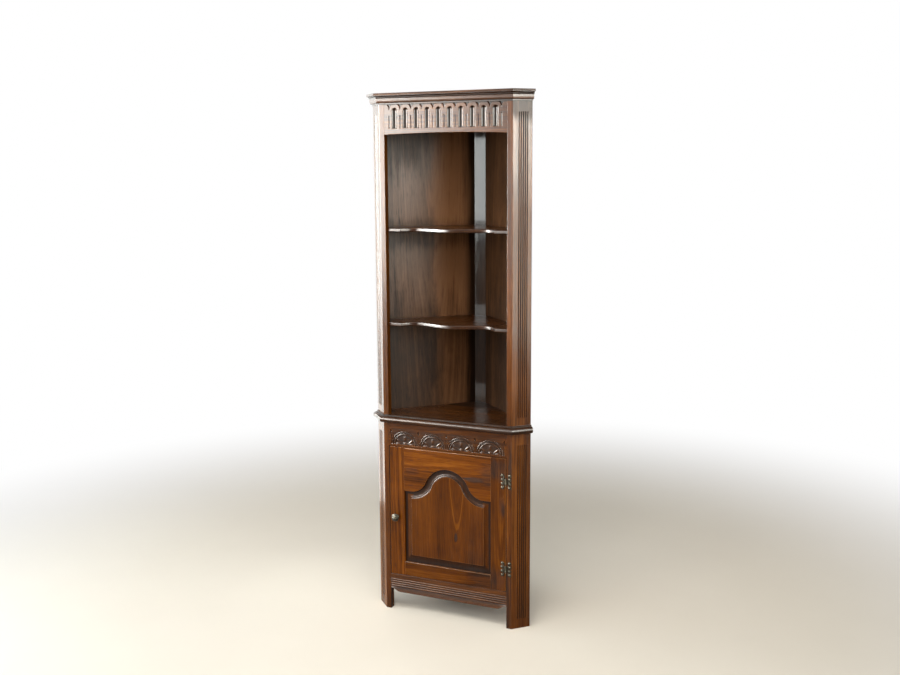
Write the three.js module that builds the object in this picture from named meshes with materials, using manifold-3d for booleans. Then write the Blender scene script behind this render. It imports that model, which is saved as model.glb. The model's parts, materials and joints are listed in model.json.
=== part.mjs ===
// Oak corner cupboard: open shelves above, one hinged door below, canted corners with reeds.
// Millimetres, +Z up. The front faces -Y and the back corner points to +Y.
// The origin is on the floor, at the middle of the overall width and depth.

import * as THREE from 'three';
import { mergeVertices } from 'three/addons/utils/BufferGeometryUtils.js';
import Module from 'manifold-3d';

const wasm = await Module();
wasm.setup();

// Carcase sizes
const frontWidth = 476;
const cantWidth = 69.5;
const lowerHeight = 682;
const waistThickness = 28;
const upperHeight = 1076;
const topThickness = 14;
const boardThickness = 18;
const stileWidth = 18.5;
const stileDepth = 22;
const railThickness = 18;
const backPanelThickness = 6.5;
const rebateWidth = 9;
const stripWidth = 42.4;
const postDepth = 13.5;
const backPanelLift = 60;
const jointGap = 0.3;
const cutOverrun = 2;

// Reeds on the canted boards
const reedStart = 22.3;
const reedPitch = 7.6;
const reedGrooveCount = 5;
const reedGrooveRadius = 1.7;
const upperReedFoot = 25;
const upperReedHead = 55;
const lowerReedFoot = 32;
const lowerReedHead = 38;

// Cornice and waist
const topOverhang = 22.5;
const topCoveFoot = 13;
const topCoveWidth = 7;
const topCoveHeight = 5.5;
const topFilletHeight = 1;
const corniceHeight = 23;
const corniceFootOut = 3;
const corniceFootHeight = 5;
const corniceStepRise = 1.5;
const corniceBandFoot = 8.5;
const corniceBandHead = 11;
const corniceBandHeight = 13.5;
const waistNoseRadius = 11.5;
const waistNoseCentre = 6;
const waistFilletOut = 4.2;

// Upper frieze with its row of gouged flutes
const upperFriezeHeight = 122;
const friezeArchRise = 5;
const fluteCount = 10;
const fluteMargin = 20.5;
const fluteWidth = 17.5;
const fluteDepth = 5.2;
const fluteFoot = 21;
const fluteHeight = 64;
const divideWidth = 3.4;
const divideDepth = 1.8;
const divideHeight = 43;
const tongueGap = 1.8;
const spandrelDepth = 2.6;

// Lower frieze with its row of lunettes
const lowerFriezeHeight = 83.5;
const lunetteCount = 4;
const lunetteMargin = 7.5;
const lunetteFoot = 8;
const lunetteRadiusShare = 0.463;
const beadWidth = 3;
const beadGrooveDepth = 2;
const lunetteSink = 3.4;
const petalCount = 5;
const petalSpreadShare = 0.62;

// Shelves
const shelfThickness = 14;
const shelfEdgeRound = 2;
const middleShelfTop = 322.5;
const upperShelfTop = 645;
const shelfSetback = 13;
const shelfLand = 48;
const shelfQuirk = 3;
const shelfValley = 49;
const shelfValleyWidth = 250;

// Plinth and floor
const plinthTop = 131;
const reedBandTop = 16.5;
const plinthReedPitch = 7.9;
const plinthReedCount = 4;
const plinthReedDepth = 2.4;
const apronBottom = 65;
const apronEndRise = 12;
const apronEndWidth = 36;
const floorThickness = 12;
const cleatSize = 18;
const cleatLength = 250;

// Door
const doorGap = 1.5;
const doorThickness = 20;
const doorStileWidth = 55.5;
const bottomRailWidth = 50.5;
const crownRailWidth = 63;
const archRise = 92.5;
const crownRadius = 86;
const shoulderWidth = 26.5;
const grooveSetback = 7;
const grooveWidth = 6;
const grooveDepth = 8;
const panelPlay = 0.2;
const panelEdgePlay = 0.6;
const panelFlat = 11;
const panelCove = 15;
const panelCoveDepth = 3.4;
const panelStep = 1;

// Knob
const knobInset = 25;
const knobHeight = 211.5;
const knobRadius = 14;
const knobReach = 20;
const knobFlatRadius = 7;
const knobWidthShares = [0.62, 0.62, 0.38, 0.38, 0.8, 1, 1, 0.9];
const knobReachShares = [0, 0.08, 0.2, 0.42, 0.5, 0.6, 0.74, 0.86];
const knobBoreRadius = 2.1;
const knobBoreDepth = 12;
const knobScrewRadius = 1.8;
const knobScrewHeadRadius = 4;
const knobScrewHead = 2;

// Hinges
const hingeInset = 79;
const barrelRadius = 3.25;
const barrelLength = 22;
const knuckleGap = 0.3;
const pinRadius = 1.25;
const pinPlay = 0.25;
const pinHeadRadius = 2.2;
const pinHeadHeight = 1.2;
const leafThickness = 1.5;
const leafWaist = 9;
const leafBarStart = 7.5;
const leafBarWidth = 5;
const lobeRadius = 5.5;
const lobeReach = 13.5;
const lobePitch = 14;
const lobeCount = 4;
const screwRadius = 1.3;
const screwLength = 10;
const screwHeadRadius = 2.9;
const screwHeadHeight = 0.9;
const screwHolePlay = 0.2;

// Catch behind the door's free top corner
const catchInset = 68;
const catchBlockLength = 60;
const catchBlockDepth = 26;
const catchBlockHeight = 20;
const catchLength = 44;
const catchDepth = 17;
const catchHeight = 13;
const catchFaceGap = 0.4;
const catchPlateLength = 38;
const catchPlateHeight = 12;
const catchPlateThickness = 1.2;
const catchEdge = 2;

// Places worked out from the sizes
const halfFront = frontWidth / 2;
const openingHalf = halfFront - stileWidth;
const wallCos = Math.SQRT1_2;
const mitreRatio = Math.tan(Math.PI / 8);
const panelInside = cantWidth - backPanelThickness;
const stripHalf = stripWidth / 2;
const panelEnd = panelInside + (halfFront - stripHalf + postDepth) / wallCos;
const stripFace = halfFront + 2 * panelInside * wallCos - stripHalf;
const postBack = stripFace + postDepth;
const backFace = (cantWidth + panelEnd) * wallCos;
const doorHalf = openingHalf - doorGap;
const doorBottom = plinthTop + doorGap;
const doorTop = lowerHeight - lowerFriezeHeight - doorGap;
const hingeX = openingHalf - doorGap / 2;
const hingeY = -barrelRadius;

// Finishes
const finish = (color, roughness, metalness) =>
  new THREE.MeshStandardMaterial({ color, roughness, metalness });
const materials = {
  oak: finish(0x5a3018, 0.42, 0),
  oakDoor: finish(0x6e3a1a, 0.4, 0),
  oakInside: finish(0x4b3122, 0.5, 0),
  brass: finish(0x6b5f45, 0.38, 0.9),
  steel: finish(0x8d8d88, 0.35, 0.9),
  plastic: finish(0x3a2a20, 0.55, 0),
};

const point = (x, y) => new THREE.Vector2(x, y);

// A solid for joining and cutting, from a closed geometry.
function solid(geometry) {
  const bare = geometry.clone();
  bare.deleteAttribute('normal');
  bare.deleteAttribute('uv');
  const merged = mergeVertices(bare);
  const vertProperties = new Float32Array(merged.attributes.position.array);
  const triVerts = new Uint32Array(merged.index.array);
  return new wasm.Manifold(new wasm.Mesh({ numProp: 3, vertProperties, triVerts }));
}

// The geometry of a joined or cut solid.
function fromSolid(body) {
  const mesh = body.getMesh();
  const geometry = new THREE.BufferGeometry();
  const position = new THREE.BufferAttribute(new Float32Array(mesh.vertProperties), 3);
  geometry.setAttribute('position', position);
  geometry.setIndex([...mesh.triVerts]);
  geometry.computeVertexNormals();
  return geometry;
}

// A body whose sections, closed outlines with equal counts, are placed one after another.
function loft(sections, place) {
  const count = sections[0].length;
  const corners = sections.flatMap((section, level) => section.map((p) => place(p, level)));
  const index = [];
  for (let level = 0; level + 1 < sections.length; level += 1) {
    for (let i = 0; i < count; i += 1) {
      const a = level * count + i;
      const b = level * count + ((i + 1) % count);
      index.push(a, b, b + count, a, b + count, a + count);
    }
  }
  const last = (sections.length - 1) * count;
  for (const [a, b, c] of THREE.ShapeUtils.triangulateShape(sections[0], [])) {
    index.push(c, b, a);
  }
  for (const [a, b, c] of THREE.ShapeUtils.triangulateShape(sections.at(-1), [])) {
    index.push(last + a, last + b, last + c);
  }
  const geometry = new THREE.BufferGeometry().setFromPoints(corners);
  geometry.setIndex(index);
  geometry.computeVertexNormals();
  return geometry;
}

// A plan outline, drawn anticlockwise from above, carried upwards.
function prism(outline, low, high) {
  const levels = [low, high];
  return loft([outline, outline], (p, i) => new THREE.Vector3(p.x, p.y, levels[i]));
}

// An outline in elevation, drawn anticlockwise from the front, carried from back to front.
function slab(outline, front, back) {
  const depths = [back, front];
  return loft([outline, outline], (p, i) => new THREE.Vector3(p.x, depths[i], p.y));
}

// A cross-section in depth and height, carried across the front from right to left.
function strip(section, half) {
  const places = [half, -half];
  return loft([section, section], (p, i) => new THREE.Vector3(places[i], -p.x, p.y));
}

function block(x0, x1, y0, y1, z0, z1) {
  const geometry = new THREE.BoxGeometry(x1 - x0, y1 - y0, z1 - z0);
  return geometry.translate((x0 + x1) / 2, (y0 + y1) / 2, (z0 + z1) / 2);
}

// A turned body about Z from its radius and height pairs.
function turned(profile, sides) {
  return new THREE.LatheGeometry(profile, sides).rotateX(Math.PI / 2);
}

// A plain round bar along Z.
function bar(radius, low, high, sides) {
  return turned([point(0, low), point(radius, low), point(radius, high), point(0, high)], sides);
}

// Points of an arc about a centre, with both ends.
function arc(centre, radius, from, to, steps) {
  return Array.from({ length: steps + 1 }, (_, i) => {
    const angle = from + ((to - from) * i) / steps;
    return point(centre.x + radius * Math.cos(angle), centre.y + radius * Math.sin(angle));
  });
}

function piece(parent, name, geometry, material) {
  const mesh = new THREE.Mesh(geometry, material);
  mesh.name = name;
  parent.add(mesh);
  return mesh;
}

const mirrored = (outline) => outline.map((p) => point(-p.x, p.y)).reverse();
const bySide = (outline, side) => (side > 0 ? outline : mirrored(outline));
const sideName = (side) => (side > 0 ? 'right' : 'left');

// Plan places on the right wing: along the canted face and inwards along the wall.
const wing = (along, inward) =>
  point(halfFront + (along - inward) * wallCos, (along + inward) * wallCos);

const stilePlan = [
  point(openingHalf, 0),
  point(halfFront, 0),
  point(halfFront - stileDepth * mitreRatio, stileDepth),
  point(openingHalf, stileDepth),
];

const cantedPlan = [
  wing(jointGap, 0),
  wing(cantWidth, 0),
  wing(cantWidth, boardThickness - rebateWidth),
  wing(panelInside, boardThickness - rebateWidth),
  wing(panelInside, boardThickness),
  wing(boardThickness * mitreRatio + jointGap, boardThickness),
];

const backPanelPlan = [
  wing(panelInside, boardThickness - rebateWidth + jointGap),
  wing(cantWidth, boardThickness - rebateWidth + jointGap),
  wing(cantWidth, panelEnd),
  wing(panelInside, panelEnd),
];

function cornerPostPlan() {
  const gap = jointGap / wallCos;
  return [
    point(-stripHalf + gap, stripFace),
    point(stripHalf - gap, stripFace),
    point(stripHalf - postDepth - gap, postBack),
    point(-stripHalf + postDepth + gap, postBack),
  ];
}

// The right half of a board that fills the inside, from behind the stile to the back strip.
function insidePlan() {
  const gap = jointGap;
  const behindStile = stileDepth / wallCos - boardThickness - gap;
  return [
    point(openingHalf, stileDepth),
    wing(behindStile, boardThickness + gap),
    wing(panelInside - gap, boardThickness + gap),
    point(stripHalf, stripFace - 2 * gap),
  ];
}

// The whole plan of an overhanging board: front, canted sides, walls and cut back corner.
function overhangPlan(out) {
  const half = [
    point(halfFront + out * mitreRatio, -out),
    wing(cantWidth, -out),
    wing(cantWidth, panelEnd),
  ];
  return [...half, ...mirrored(half)];
}

// A board whose edge follows a profile of overhang and height.
function overhangBoard(profile) {
  const sections = profile.map((p) => overhangPlan(p.x));
  return loft(sections, (p, i) => new THREE.Vector3(p.x, p.y, profile[i].y));
}

// A cutter for a groove along Z with rounded ends, on the front plane. Half a turn of one side
// keeps its corners off that plane.
function grooveCutter(width, depth, low, high, sides) {
  const radius = width / 2;
  const rise = Math.min(radius, (high - low) / 2);
  const foot = arc(point(0, low + rise), radius, -Math.PI / 2, 0, 2);
  const head = arc(point(0, high - rise), radius, 0, Math.PI / 2, 2);
  foot[0].x = 0;
  head.at(-1).x = 0;
  const body = turned([...foot, ...head], sides).rotateZ(Math.PI / sides);
  return body.scale(1, depth / radius, 1);
}

// A canted board, with its reeds cut as a row of fine grooves.
function cantedBoard(side, height, reedFoot, reedHead) {
  let board = solid(prism(bySide(cantedPlan, side), 0, height));
  for (let i = 0; i < reedGrooveCount; i += 1) {
    const place = wing(reedStart + i * reedPitch, 0);
    const groove = grooveCutter(
      2 * reedGrooveRadius, reedGrooveRadius, reedFoot, height - reedHead, 8);
    groove.rotateZ((side * Math.PI) / 4).translate(side * place.x, place.y, 0);
    board = board.subtract(solid(groove));
  }
  return fromSolid(board);
}

// One mitred length of the cornice moulding. The ends are plan places that move out with it.
function mitredLength(profile, ends) {
  return loft([profile, profile], (p, i) => {
    const place = ends[i](p.x);
    return new THREE.Vector3(place.x, place.y, p.y);
  });
}

// Cornice section in overhang and height, from its back's foot round to its head.
function corniceProfile() {
  const foot = upperHeight - corniceHeight;
  const stepTop = foot + corniceFootHeight;
  const bandFoot = stepTop + corniceStepRise;
  return [
    point(jointGap, foot),
    point(corniceFootOut, foot),
    point(corniceFootOut, stepTop),
    point(corniceBandFoot, bandFoot),
    point(corniceBandHead, bandFoot + corniceBandHeight),
    point(topCoveFoot, upperHeight),
    point(jointGap, upperHeight),
  ];
}

function addCornice(parent) {
  const profile = corniceProfile();
  const frontEnd = (side) => (out) =>
    point(side * (halfFront - jointGap + out * mitreRatio), -out);
  const arris = (side) => (out) => {
    const place = wing(jointGap - out * mitreRatio, -out);
    return point(side * place.x, place.y);
  };
  const wall = (side) => (out) => {
    const place = wing(cantWidth, -out);
    return point(side * place.x, place.y);
  };
  piece(parent, 'cornice_front', mitredLength(profile, [frontEnd(1), frontEnd(-1)]), materials.oak);
  piece(parent, 'cornice_right', mitredLength(profile, [wall(1), arris(1)]), materials.oak);
  piece(parent, 'cornice_left', mitredLength(profile, [arris(-1), wall(-1)]), materials.oak);
}

// The top board's edge goes up from a hollow, past a small fillet, to an upright lip.
function addTopBoard(parent) {
  const coveHead = topCoveFoot + topCoveWidth;
  const hollow = arc(point(1, 0), 1, Math.PI, Math.PI / 2, 5);
  const profile = hollow.map((p) =>
    point(topCoveFoot + topCoveWidth * p.x, topCoveHeight * p.y));
  const lipFoot = topCoveHeight + topFilletHeight;
  profile.push(point(coveHead, lipFoot), point(topOverhang, lipFoot));
  profile.push(point(topOverhang, topThickness));
  const board = overhangBoard(profile);
  piece(parent, 'top_board', board, materials.oak).position.z = upperHeight;
}

// The recessed wedge between two neighbouring flute heads.
function spandrelCutter(centreX, pitch, archLevel, top) {
  const radius = pitch / 2 - tongueGap / 2;
  const reach = Math.asin(Math.min(1, (top - archLevel) / radius));
  const neighbour = point(centreX - pitch / 2, archLevel);
  const other = point(centreX + pitch / 2, archLevel);
  const left = arc(neighbour, radius, reach, 0, 3);
  const right = arc(other, radius, Math.PI, Math.PI - reach, 3);
  return slab([...left, ...right], -cutOverrun, spandrelDepth);
}

function addUpperFrieze(parent) {
  const top = upperHeight;
  const bottom = upperHeight - upperFriezeHeight;
  const archRadius = (openingHalf ** 2 + friezeArchRise ** 2) / (2 * friezeArchRise);
  const spread = Math.asin(openingHalf / archRadius);
  const centre = point(0, bottom + friezeArchRise - archRadius);
  const soffit = arc(centre, archRadius, Math.PI / 2 + spread, Math.PI / 2 - spread, 12);
  soffit[0] = point(-openingHalf, bottom);
  soffit[soffit.length - 1] = point(openingHalf, bottom);
  const outline = [...soffit, point(openingHalf, top), point(-openingHalf, top)];
  let rail = solid(slab(outline, 0, railThickness));
  const pitch = (2 * (openingHalf - fluteMargin)) / fluteCount;
  const foot = bottom + fluteFoot;
  const archLevel = foot + fluteHeight;
  for (let i = 0; i <= fluteCount; i += 1) {
    const x = (i - fluteCount / 2) * pitch;
    const divide = grooveCutter(divideWidth, divideDepth, foot, foot + divideHeight, 8);
    rail = rail.subtract(solid(divide.translate(x, 0, 0)));
    const spandrel = spandrelCutter(x, pitch, archLevel, top - corniceHeight + jointGap);
    rail = rail.subtract(solid(spandrel));
    if (i < fluteCount) {
      rail = rail.subtract(solid(fluteCutter(foot, archLevel).translate(x + pitch / 2, 0, 0)));
    }
  }
  piece(parent, 'upper_frieze_rail', fromSolid(rail), materials.oak);
}

// A gouged flute, flat at its foot and round at its head.
function fluteCutter(foot, head) {
  const radius = fluteWidth / 2;
  const dome = arc(point(0, head - radius), radius, 0, Math.PI / 2, 4);
  dome.at(-1).x = 0;
  const body = turned([point(0, foot), point(radius, foot), ...dome], 16);
  return body.rotateZ(Math.PI / 16).scale(1, fluteDepth / radius, 1);
}

// Half a ring between two radii, standing on its foot level.
function halfRing(centre, inner, outer, depth) {
  const outline = [
    ...arc(centre, outer, 0, Math.PI, 16),
    ...arc(centre, inner, Math.PI, 0, 16),
  ];
  return slab(outline, -cutOverrun, depth);
}

// One carved petal: a long drop that grows from the foot of the lunette.
function petal(centre, reach, angle) {
  const length = reach / 2;
  const width = (reach * petalSpreadShare) / (petalCount - 1);
  const drop = new THREE.SphereGeometry(1, 8, 6).scale(length, lunetteSink - jointGap, width);
  drop.translate(length, 0, 0).rotateY(-angle);
  return drop.translate(centre.x, lunetteSink, centre.y);
}

function addLowerFrieze(parent) {
  const bottom = lowerHeight - lowerFriezeHeight;
  const outline = [
    point(-openingHalf, bottom),
    point(openingHalf, bottom),
    point(openingHalf, lowerHeight),
    point(-openingHalf, lowerHeight),
  ];
  let rail = solid(slab(outline, 0, railThickness));
  const pitch = (2 * (openingHalf - lunetteMargin)) / lunetteCount;
  const radius = pitch * lunetteRadiusShare;
  for (let i = 0; i < lunetteCount; i += 1) {
    const centre = point((i - (lunetteCount - 1) / 2) * pitch, bottom + lunetteFoot);
    const groove = halfRing(centre, radius - 2 * beadWidth, radius - beadWidth, beadGrooveDepth);
    const well = arc(centre, radius - 3 * beadWidth, 0, Math.PI, 16);
    rail = rail.subtract(solid(groove)).subtract(solid(slab(well, -cutOverrun, lunetteSink)));
    const floor = solid(slab(well, 0, railThickness / 2));
    for (let k = 0; k < petalCount; k += 1) {
      const angle = (Math.PI * (k + 1 / 2)) / petalCount;
      const leaf = solid(petal(centre, radius - 3 * beadWidth, angle));
      rail = rail.add(leaf.intersect(floor));
    }
  }
  piece(parent, 'lower_frieze_rail', fromSolid(rail), materials.oak);
}

// The shelf's front edge on the right half, from its middle out to the stile.
function shelfEdge(inset) {
  const valley = shelfValleyWidth / 2;
  const landStart = openingHalf - shelfLand;
  const bow = Array.from({ length: 11 }, (_, i) => {
    const x = (valley * i) / 11;
    const swing = (1 - Math.cos((Math.PI * x) / valley)) / 2;
    return point(x, shelfSetback + (shelfValley - shelfSetback) * swing);
  });
  const coveStart = shelfSetback + shelfQuirk;
  const cove = Array.from({ length: 7 }, (_, i) => {
    const turn = (Math.PI / 2) * (1 - i / 6);
    const x = landStart - ((landStart - valley) * turn) / (Math.PI / 2);
    return point(x, coveStart + (shelfValley - coveStart) * Math.sin(turn));
  });
  const land = [point(landStart, shelfSetback), point(openingHalf, shelfSetback)];
  return [...bow, ...cove, ...land].map((p) => point(p.x, p.y + inset));
}

function shelfPlan(inset) {
  const half = [...shelfEdge(inset), ...insidePlan()];
  return [...half, ...mirrored(half.slice(1))];
}

function shelf(top) {
  const insets = [shelfEdgeRound, 0, 0, shelfEdgeRound];
  const low = top - shelfThickness;
  const levels = [low, low + shelfEdgeRound, top - shelfEdgeRound, top];
  return loft(insets.map(shelfPlan), (p, i) => new THREE.Vector3(p.x, p.y, levels[i]));
}

function addUpright(parent, prefix, height, reedFoot, reedHead, panelLow) {
  for (const side of [-1, 1]) {
    const name = sideName(side);
    const stile = prism(bySide(stilePlan, side), 0, height);
    piece(parent, `${prefix}_stile_${name}`, stile, materials.oak);
    const board = cantedBoard(side, height, reedFoot, reedHead);
    piece(parent, `${prefix}_canted_board_${name}`, board, materials.oak);
    const panel = prism(bySide(backPanelPlan, side), panelLow, height);
    piece(parent, `${prefix}_back_panel_${name}`, panel, materials.oakInside);
  }
  const post = prism(cornerPostPlan(), 0, height);
  piece(parent, `${prefix}_corner_post`, post, materials.oakInside);
}

// A full-depth board with a rounded nose below a small square fillet.
function addWaist(parent) {
  const nose = arc(
    point(waistNoseCentre, waistNoseRadius), waistNoseRadius, -Math.PI / 2, Math.PI / 2, 8);
  const fillet = [
    point(waistFilletOut, 2 * waistNoseRadius),
    point(waistFilletOut, waistThickness),
  ];
  const board = overhangBoard([...nose, ...fillet]);
  piece(parent, 'waist_board', board, materials.oak).position.z = lowerHeight;
}

// The plinth rail's section, with its reeds, in distance forwards and height.
function plinthSection() {
  const reedTop = plinthTop - reedBandTop;
  const radius = plinthReedPitch / 2;
  const reeds = [];
  for (let i = plinthReedCount - 1; i >= 0; i -= 1) {
    const centre = reedTop - (i + 1 / 2) * plinthReedPitch;
    for (let k = 0; k < 6; k += 1) {
      const angle = -Math.PI / 2 + (Math.PI * k) / 6;
      const out = plinthReedDepth * (Math.cos(angle) - 1);
      reeds.push(point(out, centre + radius * Math.sin(angle)));
    }
  }
  const reedFoot = reedTop - plinthReedCount * plinthReedPitch;
  return [
    point(-railThickness, apronBottom),
    point(0, apronBottom),
    point(0, reedFoot),
    ...reeds,
    point(-plinthReedDepth, reedTop),
    point(0, reedTop),
    point(0, plinthTop),
    point(-railThickness, plinthTop),
  ];
}

// What the apron's shaped underside leaves out at one end.
function apronCutter(side) {
  const start = openingHalf - apronEndWidth;
  const sweep = Array.from({ length: 7 }, (_, i) => {
    const rise = (1 - Math.cos((Math.PI * i) / 6)) / 2;
    return point(start + (apronEndWidth * i) / 6, apronBottom + apronEndRise * rise);
  }).reverse();
  const below = apronBottom - cutOverrun;
  const outline = [point(start, below), point(openingHalf + cutOverrun, below),
    point(openingHalf + cutOverrun, apronBottom + apronEndRise), ...sweep];
  return slab(bySide(outline, side), -cutOverrun, railThickness + cutOverrun);
}

function addPlinth(parent) {
  let rail = solid(strip(plinthSection(), openingHalf));
  for (const side of [-1, 1]) {
    rail = rail.subtract(solid(apronCutter(side)));
  }
  piece(parent, 'plinth_rail', fromSolid(rail), materials.oak);
}

function addFloor(parent) {
  const half = [point(openingHalf, railThickness), ...insidePlan()];
  const outline = [...half, ...mirrored(half)];
  const floorLow = plinthTop - floorThickness;
  piece(parent, 'cupboard_floor', prism(outline, floorLow, plinthTop), materials.oakInside);
  const near = boardThickness + 2 * jointGap;
  const face = panelInside - jointGap;
  const cleat = [
    wing(face - cleatSize, near),
    wing(face, near),
    wing(face, near + cleatLength),
    wing(face - cleatSize, near + cleatLength),
  ];
  for (const side of [-1, 1]) {
    const solidCleat = prism(bySide(cleat, side), floorLow - cleatSize, floorLow);
    piece(parent, `floor_cleat_${sideName(side)}`, solidCleat, materials.oakInside);
  }
}

// The head of the panel opening, right to left: a crown arc between two coves, moved out by grow.
function archHead(grow) {
  const shoulder = doorTop - crownRailWidth - archRise;
  const half = doorHalf - doorStileWidth - shoulderWidth;
  const coveRadius = (half ** 2 + archRise ** 2 - 2 * archRise * crownRadius) / (2 * archRise);
  const crown = point(0, shoulder + archRise - crownRadius);
  const cove = point(half, shoulder + coveRadius);
  const lean = Math.atan2(cove.y - crown.y, cove.x);
  const right = arc(cove, coveRadius - grow, -Math.PI / 2, lean - Math.PI, 8);
  const top = arc(crown, crownRadius + grow, lean, Math.PI - lean, 16);
  return [...right, ...top.slice(1, -1), ...mirrored(right)];
}

// The whole panel opening, anticlockwise from its lower left corner, moved out by grow.
function openingOutline(grow) {
  const side = doorHalf - doorStileWidth + grow;
  const shoulder = doorTop - crownRailWidth - archRise + grow;
  const bottom = doorBottom + bottomRailWidth - grow;
  return [
    point(-side, bottom),
    point(side, bottom),
    point(side, shoulder),
    ...archHead(grow),
    point(-side, shoulder),
  ];
}

const grooveBack = grooveSetback + grooveWidth;

function doorStile(side) {
  const outer = doorHalf;
  const inner = doorHalf - doorStileWidth;
  const outline = [
    point(inner, 0),
    point(outer, 0),
    point(outer, doorThickness),
    point(inner, doorThickness),
    point(inner, grooveBack),
    point(inner + grooveDepth, grooveBack),
    point(inner + grooveDepth, grooveSetback),
    point(inner, grooveSetback),
  ];
  return prism(bySide(outline, side), doorBottom, doorTop);
}

// Stub tenons on both ends of a door rail, which fill the stiles' grooves.
function withTenons(rail, low, high) {
  const inner = doorHalf - doorStileWidth;
  const reach = inner + grooveDepth - panelEdgePlay;
  const front = grooveSetback + panelPlay;
  const back = grooveBack - panelPlay;
  const tongue = solid(block(-reach, reach, front, back, low, high));
  const between = solid(block(-inner, inner, 0, doorThickness, low, high));
  return rail.add(tongue.subtract(between));
}

function doorTopRail() {
  const inner = doorHalf - doorStileWidth;
  const shoulder = doorTop - crownRailWidth - archRise;
  const head = archHead(0).reverse();
  const outline = [point(-inner, shoulder), ...head, point(inner, shoulder),
    point(inner, doorTop), point(-inner, doorTop)];
  const groove = solid(slab(openingOutline(grooveDepth), grooveSetback, grooveBack));
  const rail = solid(slab(outline, 0, doorThickness)).subtract(groove);
  return fromSolid(withTenons(rail, shoulder + grooveDepth, doorTop));
}

function doorBottomRail() {
  const inner = doorHalf - doorStileWidth;
  const top = doorBottom + bottomRailWidth;
  const body = solid(block(-inner, inner, 0, doorThickness, doorBottom, top));
  const groove = solid(
    block(-inner - cutOverrun, inner + cutOverrun, grooveSetback, grooveBack, top - grooveDepth,
      top + cutOverrun));
  return fromSolid(withTenons(body.subtract(groove), doorBottom, top - grooveDepth));
}

// The raised panel: a tongue in the grooves, a flat, a hollow rise and the field.
function doorPanel() {
  const back = grooveBack - panelPlay;
  const front = grooveSetback + panelPlay;
  const edge = grooveDepth - panelEdgePlay;
  const levels = [[edge, back], [edge, front], [-panelFlat, front]];
  for (let i = 1; i <= 4; i += 1) {
    const turn = ((Math.PI / 2) * i) / 4;
    const grow = -panelFlat - panelCove * Math.sin(turn);
    levels.push([grow, front - panelCoveDepth * (1 - Math.cos(turn))]);
  }
  levels.push([-panelFlat - panelCove, front - panelCoveDepth - panelStep]);
  const sections = levels.map(([grow]) => openingOutline(grow));
  return loft(sections, (p, i) => new THREE.Vector3(p.x, levels[i][1], p.y));
}

// A bored hole or a shank along the door's depth.
function depthBar(radius, front, back, sides) {
  return bar(radius, -back, -front, sides).rotateX(Math.PI / 2);
}

function addKnob(door) {
  const x = -doorHalf + knobInset;
  const z = doorBottom + knobHeight;
  const bore = [
    point(0, knobBoreDepth),
    point(knobBoreRadius, knobBoreDepth),
    point(knobBoreRadius, 0),
  ];
  const outside = knobWidthShares.map((share, i) =>
    point(knobRadius * share, knobReach * knobReachShares[i]));
  const profile = [...bore, ...outside, point(knobFlatRadius, knobReach), point(0, knobReach)];
  const knob = piece(door, 'knob', turned(profile, 24), materials.brass);
  knob.rotation.x = Math.PI / 2;
  knob.position.set(x, 0, z);
  const shank = knobBoreDepth - cutOverrun;
  const screw = [
    point(0, -shank),
    point(knobScrewRadius, -shank),
    point(knobScrewRadius, doorThickness),
    point(knobScrewHeadRadius, doorThickness),
    point(knobScrewHeadRadius, doorThickness + knobScrewHead / 2),
    point(0, doorThickness + knobScrewHead),
  ];
  const screwMesh = piece(door, 'knob_screw', turned(screw, 16), materials.steel);
  screwMesh.rotation.x = -Math.PI / 2;
  screwMesh.position.set(x, 0, z);
}

function addDoor(parent) {
  const door = new THREE.Group();
  door.position.set(hingeX, hingeY, 0);
  parent.add(door);
  const closed = new THREE.Group();
  closed.position.set(-hingeX, -hingeY, 0);
  door.add(closed);
  const hole = depthBar(knobBoreRadius, -cutOverrun, doorThickness + cutOverrun, 16);
  hole.translate(-doorHalf + knobInset, 0, doorBottom + knobHeight);
  const bored = solid(doorStile(-1)).subtract(solid(hole));
  piece(closed, 'door_stile_left', fromSolid(bored), materials.oakDoor);
  piece(closed, 'door_stile_right', doorStile(1), materials.oakDoor);
  piece(closed, 'door_top_rail', doorTopRail(), materials.oakDoor);
  piece(closed, 'door_bottom_rail', doorBottomRail(), materials.oakDoor);
  piece(closed, 'door_panel', doorPanel(), materials.oakDoor);
  addKnob(closed);
  return closed;
}

const leafScrewPlaces = [-1, 1].map((end) => (end * lobePitch * (lobeCount - 1)) / 2);

// The flat of one leaf on the frame side, about the barrel's axis: waist, bar and lobes.
function leafPlate() {
  const front = barrelRadius - leafThickness;
  const back = barrelRadius;
  const height = lobePitch * (lobeCount - 1);
  let plate = solid(block(0, leafBarStart + leafBarWidth / 2, front, back, -leafWaist, leafWaist));
  const barEnd = leafBarStart + leafBarWidth;
  plate = plate.add(solid(block(leafBarStart, barEnd, front, back, -height / 2, height / 2)));
  for (let i = 0; i < lobeCount; i += 1) {
    const z = (i - (lobeCount - 1) / 2) * lobePitch;
    plate = plate.add(solid(depthBar(lobeRadius, front, back, 16).translate(lobeReach, 0, z)));
  }
  for (const z of leafScrewPlaces) {
    const hole = depthBar(screwRadius + screwHolePlay, front - cutOverrun, back + cutOverrun, 12);
    plate = plate.subtract(solid(hole.translate(lobeReach, 0, z)));
  }
  return plate;
}

// A leaf with its own knuckles. The other leaf's knuckles turn in the room left for them.
function hingeLeaf(own, others) {
  const tube = ([low, high]) => solid(bar(barrelRadius, low, high, 24));
  const room = ([low, high]) =>
    solid(bar(barrelRadius + knuckleGap, low - knuckleGap, high + knuckleGap, 24));
  let leaf = leafPlate();
  for (const span of others) {
    leaf = leaf.subtract(room(span));
  }
  for (const span of own) {
    leaf = leaf.add(tube(span));
  }
  const reach = barrelLength / 2 + cutOverrun;
  return leaf.subtract(solid(bar(pinRadius + pinPlay, -reach, reach, 16)));
}

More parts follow.
